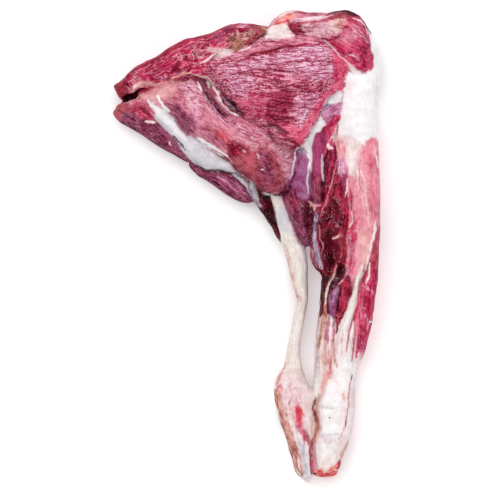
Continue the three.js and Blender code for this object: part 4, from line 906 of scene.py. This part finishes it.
def nearest_fibres(masses, corners):
    """Gap of each corner from every mass in mm, and its fibre coordinates in the nearest mass."""
    columns = zip(*(mass.local(corners) for mass in masses))
    gaps, alongs, acrosses = (np.stack(column, axis=1) for column in columns)
    nearest = gaps.argmin(axis=1)
    pick = (np.arange(len(corners)), nearest)
    stretch = np.array([GRAIN_STRETCH[mass.axis] for mass in masses])[nearest]
    along = alongs[pick] * stretch + GRAIN_JUMP[0] * nearest
    across = acrosses[pick] + GRAIN_JUMP[1] * nearest
    return gaps, np.stack([along, across, corners[:, 2]], axis=1)


def leg_coat(masses, corners, normals):
    """The coat of the whole leg, and the fibre coordinates of its corners."""
    gaps, grain = nearest_fibres(masses, corners)
    upward = normals[:, 2]
    coat = Coat(len(corners))
    shares = np.exp((gaps.min(axis=1, keepdims=True) - gaps) / SEAM_BLEND)
    shares /= shares.sum(axis=1, keepdims=True)
    for mass, share in zip(masses, shares.T):
        coat.weights[:, PIGMENT_NAMES.index(mass.pigment)] += share

    # painted shade: dark maroon in the creases where two masses meet, which also sink, but not in fat,
    # tendon and bone
    pale = coat.weights[:, [PIGMENT_NAMES.index(name) for name in PALE]].sum(axis=1)
    first, second = np.partition(gaps, 1, axis=1)[:, :2].T
    broken = smooth_step(-0.5, 0.4, layered_noise(corners, CREASE_BREAKS))
    crease_shade = np.exp((first - second) / CREASE_WIDTH) * broken * (1 - pale)
    coat.paint("maroon", CREASE_SHADE, crease_shade, -CREASE_DEPTH)

    # plum with blotches of fat on the underside
    under = smooth_step(*UNDER_FADE, upward)
    coat.paint("plum", 1, under * smooth_step(-0.2, 0.3, layered_noise(corners, PLUM_BLOTCHES)))
    coat.paint("greyfat", UNDER_FAT, under * smooth_step(0.35, 0.7, layered_noise(corners, FAT_BLOTCHES)))

    # patches and strokes on the shown side
    wander = np.stack([layered_noise(corners, layers) for layers in (WANDER_X, WANDER_Y)], axis=1)
    steep = smooth_step(*STEEP_FADE, upward)
    plan = corners[:, :2] + (WOBBLE + STEEP_WOBBLE * steep)[:, None] * wander
    ragged = layered_noise(corners, RAGS) + layered_noise(grain, FIBRE_RAGS)
    shown = smooth_step(*SHOWN_FADE, upward)
    for pigment, amount, soft, height, outline in PATCHES:
        depth = inside_distance(outline, plan) + PATCH_RAG * soft * ragged
        coat.paint(pigment, amount, smooth_step(-soft, soft, depth) * shown, height)
    for pigment, amount, width, height, path in STROKES:
        gap, run = path_distance(path, plan)
        taper = STROKE_TIP + (1 - STROKE_TIP) * np.sqrt(np.clip(4 * run * (1 - run), 0, 1))
        uneven = (1 + STROKE_RAG * ragged).clip(THINNEST)
        cover = smooth_step(*STROKE_FADE, gap / (width * taper * uneven))
        coat.paint(pigment, amount, cover * shown, height)
    return coat, grain


def srgb_to_linear(colour):
    """A colour of sRGB bytes as the linear numbers that shaders take."""
    values = np.asarray(colour, float) / 255
    return tuple(np.where(values <= 0.04045, values / 12.92, ((values + 0.055) / 1.055) ** 2.4))


def is_vector(operand):
    """Whether an operand of shader maths is a vector or a colour, and not a single number."""
    return operand.socket.type != "VALUE" if isinstance(operand, Wire) else isinstance(operand, tuple)


class Wire:
    """A node socket that Python arithmetic works on: each operator adds one Math or Vector Math node."""

    def __init__(self, tree, socket=None):
        self.tree = tree
        self.socket = socket

    def node(self, kind, settings=None, inputs=None, output=0):
        """Adds a node with its settings and its inputs, and returns the wire of one of its outputs."""
        made = self.tree.nodes.new(kind)
        for name, value in (settings or {}).items():
            setattr(made, name, value)
        for name, value in (inputs or {}).items():
            self.feed(made.inputs[name], value)
        return Wire(self.tree, made.outputs[output] if made.outputs else None)

    def feed(self, socket, value):
        """Links a wire to a socket, or sets the socket to a number, vector or colour."""
        if isinstance(value, Wire):
            self.tree.links.new(value.socket, socket)
        elif hasattr(socket.default_value, "__len__"):
            size = len(socket.default_value)
            spread = list(value) if hasattr(value, "__len__") else [value] * size
            socket.default_value = (spread + [1.0])[:size]
        else:
            socket.default_value = value

    def operate(self, operation, *operands):
        """A Math node, or a Vector Math node if any of the operands is a vector or a colour."""
        kind = "ShaderNodeVectorMath" if any(map(is_vector, operands)) else "ShaderNodeMath"
        return self.node(kind, {"operation": operation}, dict(enumerate(operands)))

    def __add__(self, other):
        return self.operate("ADD", self, other)

    def __radd__(self, other):
        return self.operate("ADD", other, self)

    def __sub__(self, other):
        return self.operate("SUBTRACT", self, other)

    def __rsub__(self, other):
        return self.operate("SUBTRACT", other, self)

    def __mul__(self, other):
        return self.operate("MULTIPLY", self, other)

    def __rmul__(self, other):
        return self.operate("MULTIPLY", other, self)

    def __truediv__(self, other):
        return self.operate("DIVIDE", self, other)

    def __rtruediv__(self, other):
        return self.operate("DIVIDE", other, self)

    def __abs__(self):
        return self.operate("ABSOLUTE", self)

    def ramp(self, low=0.0, high=1.0):
        """0 below low, 1 above high, smooth between; low may be the larger of the two."""
        return self.node("ShaderNodeMapRange", {"interpolation_type": "SMOOTHSTEP"},
                         {"Value": self, "From Min": low, "From Max": high})

    def blend(self, other, share):
        """This colour with a share of another colour over it."""
        return self.node("ShaderNodeMix", {"data_type": "RGBA"}, {0: share, 6: self, 7: other}, output=2)

    def ridge(self):
        """1 along the lines where noise of 0 to 1 crosses its middle, falling to 0 on both sides."""
        return 1.0 - abs(self - 0.5) * 2.0

    def noise(self, size, detail=3.0, rough=0.55):
        """Noise over this place, with features of about the given size, widened to fill 0 to 1."""
        scaled = self * tuple(1 / side for side in np.broadcast_to(size, 3))
        factor = self.node("ShaderNodeTexNoise", {"noise_dimensions": "3D"},
                           {"Vector": scaled, "Scale": 1.0, "Detail": detail, "Roughness": rough})
        return (factor - 0.5) * 2.0 + 0.5

    def split(self):
        """The three parts of a vector or colour."""
        first = self.node("ShaderNodeSeparateXYZ", None, {0: self})
        return [Wire(self.tree, part) for part in first.socket.node.outputs]


def frayed_weights(start, place):
    """The pigment weights of the mesh, frayed by fine noise and sharpened, which add up to 1."""
    weights, frays = [], []
    for layer in LAYERS:
        weights += start.node("ShaderNodeAttribute", {"attribute_name": layer}, output="Vector").split()
    for shift in FRAY_SHIFTS:
        fray = {"Vector": place + (shift, 0.0, 0.0), "Scale": FRAY_SCALE, "Detail": 3.0, "Roughness": 0.6}
        frays += start.node("ShaderNodeTexNoise", None, fray, output="Color").split()
    frayed = [weight * (frays[k % len(frays)] * 1.8 + 0.1) for k, weight in enumerate(weights)]
    sharp = [weight * weight for weight in frayed]
    whole = sum(sharp)
    return [weight / whole for weight in sharp]


def leg_material():
    """Flesh whose colours follow the pigment weights of the mesh, streaked along the fibres."""
    material = bpy.data.materials.new("raw_flesh")
    material.use_nodes = True
    material.node_tree.nodes.clear()
    start = Wire(material.node_tree)
    place = start.node("ShaderNodeTexCoord", output="Object")
    weights = frayed_weights(start, place)

    def mixed(column, change=lambda value: value):
        """One column of the pigments' table, mixed by the weights."""
        return sum(w * change(PIGMENTS[name][column]) for w, name in zip(weights, PIGMENT_NAMES))

    # noise that follows the fibres, with sizes along, across and through them in mm
    drift = place.noise(18 * MM, 1.0) - 0.5
    grain = start.node("ShaderNodeAttribute", {"attribute_name": "grain"}, output="Vector")
    strands = grain + start.node("ShaderNodeCombineXYZ", None, {"Y": drift * 2.5})
    threads = strands.noise((6.5, 0.9, 1.8), 2.0, 0.6)
    bundles = strands.noise((16.0, 2.4, 5.0), 2.0, 0.55)
    lines = strands.noise((30.0, 3.2, 8.0), 1.0, 0.5).ridge().ramp(0.87, 0.97)
    cracks = strands.noise((9.0, 2.2, 5.0), 1.0, 0.5).ridge().ramp(0.84, 0.97)
    flakes = strands.noise((3.6, 1.7, 3.0), 2.0, 0.6)

    # noise that is alike in all directions
    crack_places = place.noise(8 * MM, 2.0).ramp(0.35, 0.7)
    clouds = place.noise(14 * MM, 3.0, 0.6)
    mottle = place.noise(5 * MM, 2.5, 0.5)
    specks = place.noise(1.3 * MM, 1.0, 0.5)
    lace_places = place.noise(10 * MM, 3.0).ramp(0.40, 0.75)
    lace = place.noise(5 * MM, 2.0, 0.6).ridge().ramp(0.80, 0.96)

    # pale membrane over the flesh with painted glints on it, and dark gaps and cuts in it
    streaky = mixed(STREAKS)
    stringy = streaky.ramp(0.5, 1.0)
    flaky = mixed(LACE_AND_GLINTS)
    scaly = flaky.ramp(0.45, 0.9)
    # painted glints: small pale highlights along the fibres and on pale flakes, laid into the colour
    glints = threads.ramp(0.55, 0.80) * specks.ramp(0.50, 0.68)
    membrane_and_glints = flaky * (lace * lace_places + glints) + scaly * flakes.ramp(0.56, 0.68) * 0.6
    gaps = scaly * flakes.ramp(0.46, 0.36)
    cut = stringy * (lines + cracks * crack_places)

    # colour from dark to light, with the cuts and then the membrane and its painted glints over it
    fibres = (threads - 0.5) * 2.1 + (bundles - 0.5) * 0.6
    grains = (mottle - 0.5) * 1.1
    grit = (specks - 0.5) * (stringy * 0.7 + 0.4)
    tone = (grains + streaky * (fibres - grains) + grit + (clouds - 0.5) * 0.7 + 0.5).ramp()
    dark = mixed(DARK, srgb_to_linear)
    light = mixed(LIGHT, srgb_to_linear)
    colour = dark.blend(light, tone).blend(dark * CUT_TINT, (cut * 0.8 + gaps * 0.6).ramp())
    colour = colour.blend(light.blend(MEMBRANE_AND_GLINT, 0.6), (membrane_and_glints * 0.9).ramp())

    height = streaky * fibres * 0.5 + specks * 0.3 + mottle * 0.4 - cut * 0.9 + membrane_and_glints * 0.5 - gaps * 0.4
    bump = start.node("ShaderNodeBump", None, {"Strength": 0.6, "Distance": 0.7 * MM, "Height": height})
    shader = start.node("ShaderNodeBsdfPrincipled", None, {
        "Base Color": colour,
        "Roughness": mixed(ROUGHNESS) * 0.9,
        "Normal": bump,
        "IOR": 1.38,
        "Specular IOR Level": 0.0,
        "Subsurface Weight": 0.04,
        "Subsurface Radius": (0.002, 0.0006, 0.0005),
        "Coat Weight": 0.12,
        "Coat Roughness": 0.2,
    })
    start.node("ShaderNodeOutputMaterial", None, {"Surface": shader})
    return material


class GoatLegSettings(bpy.types.PropertyGroup):
    """Sizes and relief of the leg, and the light and view of its stage"""

    thigh: bpy.props.FloatProperty(
        name="Thigh thickness", description="Top of the haunch above the table",
        default=0.070, unit="LENGTH")
    shank: bpy.props.FloatProperty(
        name="Shank thickness", description="Top of the shin muscles above the table",
        default=0.048, unit="LENGTH")
    voxel: bpy.props.FloatProperty(
        name="Mesh size", description="Spacing of the mesh that the forms grow into",
        default=0.001, unit="LENGTH")
    fibre_depth: bpy.props.FloatProperty(
        name="Fibre depth", description="Depth of the grooves along the fibres",
        default=0.00035, unit="LENGTH")
    lump: bpy.props.FloatProperty(
        name="Lumps", description="Height of the uneven lumps of the flesh",
        default=0.0007, unit="LENGTH")
    floor: bpy.props.FloatVectorProperty(
        name="Floor", description="Colour of the pale floor",
        default=(0.93, 0.93, 0.93), subtype="COLOR")
    key_power: bpy.props.FloatProperty(
        name="Key light", description="Power of the main soft light",
        default=25.0, unit="POWER")
    fill: bpy.props.FloatProperty(
        name="Fill", description="Strength of the even light from all round",
        default=0.56, subtype="FACTOR")
    lens: bpy.props.FloatProperty(
        name="Lens", description="Focal length of the camera in mm",
        default=250.0, unit="CAMERA")
    view_width: bpy.props.FloatProperty(
        name="View width", description="Width of the picture at the leg's middle height",
        default=0.3739, unit="LENGTH")


class GOATLEG_OT_flesh(bpy.types.Operator):
    """Grows the masses into one leg, sculpts it and colours it"""

    bl_idname = "goatleg.flesh"
    bl_label = "Build Leg"

    def execute(self, context):
        settings = context.scene.goat_leg
        thicknesses = {"thigh": settings.thigh / MM, "shank": settings.shank / MM}
        masses = [Mass(name, thicknesses) for name in MASSES]
        mesh = fused_mesh(masses, settings.voxel / MM)
        corners = vectors_of(mesh.vertices, "co")
        normals = vectors_of(mesh.vertex_normals, "vector")
        coat, grain = leg_coat(masses, corners, normals)

        streaky = coat.weights @ np.array([PIGMENTS[name][STREAKS] for name in PIGMENT_NAMES])
        fibres = layered_noise(grain, FIBRES) * settings.fibre_depth / MM
        lumps = layered_noise(corners, LUMPS) * settings.lump / MM
        lift = coat.lift + streaky * fibres + lumps
        free = smooth_step(0.0, FREE_HEIGHT, corners[:, 2])
        corners = corners + normals * (lift * free)[:, None]
        corners[:, 2] = np.maximum(corners[:, 2], 0)
        place_corners(mesh, corners * MM)

        layers = dict(zip(LAYERS, np.split(coat.weights, len(LAYERS), axis=1)), grain=grain)
        for name, vectors in layers.items():
            attribute = mesh.attributes.new(name, "FLOAT_VECTOR", "POINT")
            attribute.data.foreach_set("vector", np.ascontiguousarray(vectors, np.float32).ravel())
        mesh.polygons.foreach_set("use_smooth", np.ones(len(mesh.polygons), bool))
        mesh.materials.clear()
        mesh.materials.append(leg_material())
        leg = bpy.data.objects.new("leg_flesh", mesh)
        context.scene.collection.objects.link(leg)
        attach(leg, "root")
        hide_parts("goat_leg")
        return {"FINISHED"}


def set_inputs(node, values):
    """Sets inputs of a node by name."""
    for name, value in values.items():
        node.inputs[name].default_value = value


class GOATLEG_OT_stage(bpy.types.Operator):
    """Adds the pale floor, the soft lights and the camera that looks straight down"""

    bl_idname = "goatleg.stage"
    bl_label = "Build Stage"

    def execute(self, context):
        scene = context.scene
        settings = scene.goat_leg
        bpy.ops.mesh.primitive_plane_add(size=FLOOR_SIDE)
        floor = context.object
        floor.name = "floor"
        paper = bpy.data.materials.new("pale_floor")
        paper.use_nodes = True
        set_inputs(paper.node_tree.nodes["Principled BSDF"], {
            "Base Color": (*settings.floor, 1),
            "Roughness": FLOOR_ROUGHNESS,
            "Emission Color": WHITE,
            "Emission Strength": FLOOR_GLOW,
        })
        floor.data.materials.append(paper)

        for name, (place, side, share) in LIGHTS.items():
            lamp = bpy.data.lights.new(name, "AREA")
            lamp.size = side
            lamp.energy = settings.key_power * share
            holder = bpy.data.objects.new(name, lamp)
            holder.location = place
            holder.rotation_euler = (-Vector(place)).to_track_quat("-Z", "Y").to_euler()
            scene.collection.objects.link(holder)
        world = bpy.data.worlds.new("soft_sky")
        world.use_nodes = True
        set_inputs(world.node_tree.nodes["Background"], {"Color": WHITE, "Strength": settings.fill})
        scene.world = world

        lens = bpy.data.cameras.new("camera")
        lens.lens = settings.lens
        lens.sensor_width = SENSOR_WIDTH
        camera = bpy.data.objects.new("camera", lens)
        distance = settings.view_width * settings.lens / SENSOR_WIDTH
        camera.location = (0.0, VIEW_SHIFT, LEG_MIDDLE + distance)
        scene.collection.objects.link(camera)
        scene.camera = camera
        scene.view_settings.view_transform = "Standard"
        return {"FINISHED"}


class GOATLEG_PT_panel(bpy.types.Panel):
    """Sizes and steps of the goat leg"""

    bl_label = "Goat Leg"
    bl_space_type = "VIEW_3D"
    bl_region_type = "UI"
    bl_category = "Goat Leg"

    def draw(self, context):
        settings = context.scene.goat_leg
        for name in GoatLegSettings.__annotations__:
            self.layout.prop(settings, name)
        for step in STEPS:
            self.layout.operator(step.bl_idname)


STEPS = (GOATLEG_OT_flesh, GOATLEG_OT_stage)
CLASSES = (GoatLegSettings, *STEPS, GOATLEG_PT_panel)


def register():
    for cls in CLASSES:
        bpy.utils.register_class(cls)
    bpy.types.Scene.goat_leg = bpy.props.PointerProperty(type=GoatLegSettings)


def unregister():
    del bpy.types.Scene.goat_leg
    for cls in reversed(CLASSES):
        bpy.utils.unregister_class(cls)


def main():
    register()
    bpy.ops.goatleg.flesh()
    bpy.ops.goatleg.stage()


if __name__ == "__main__":
    main()
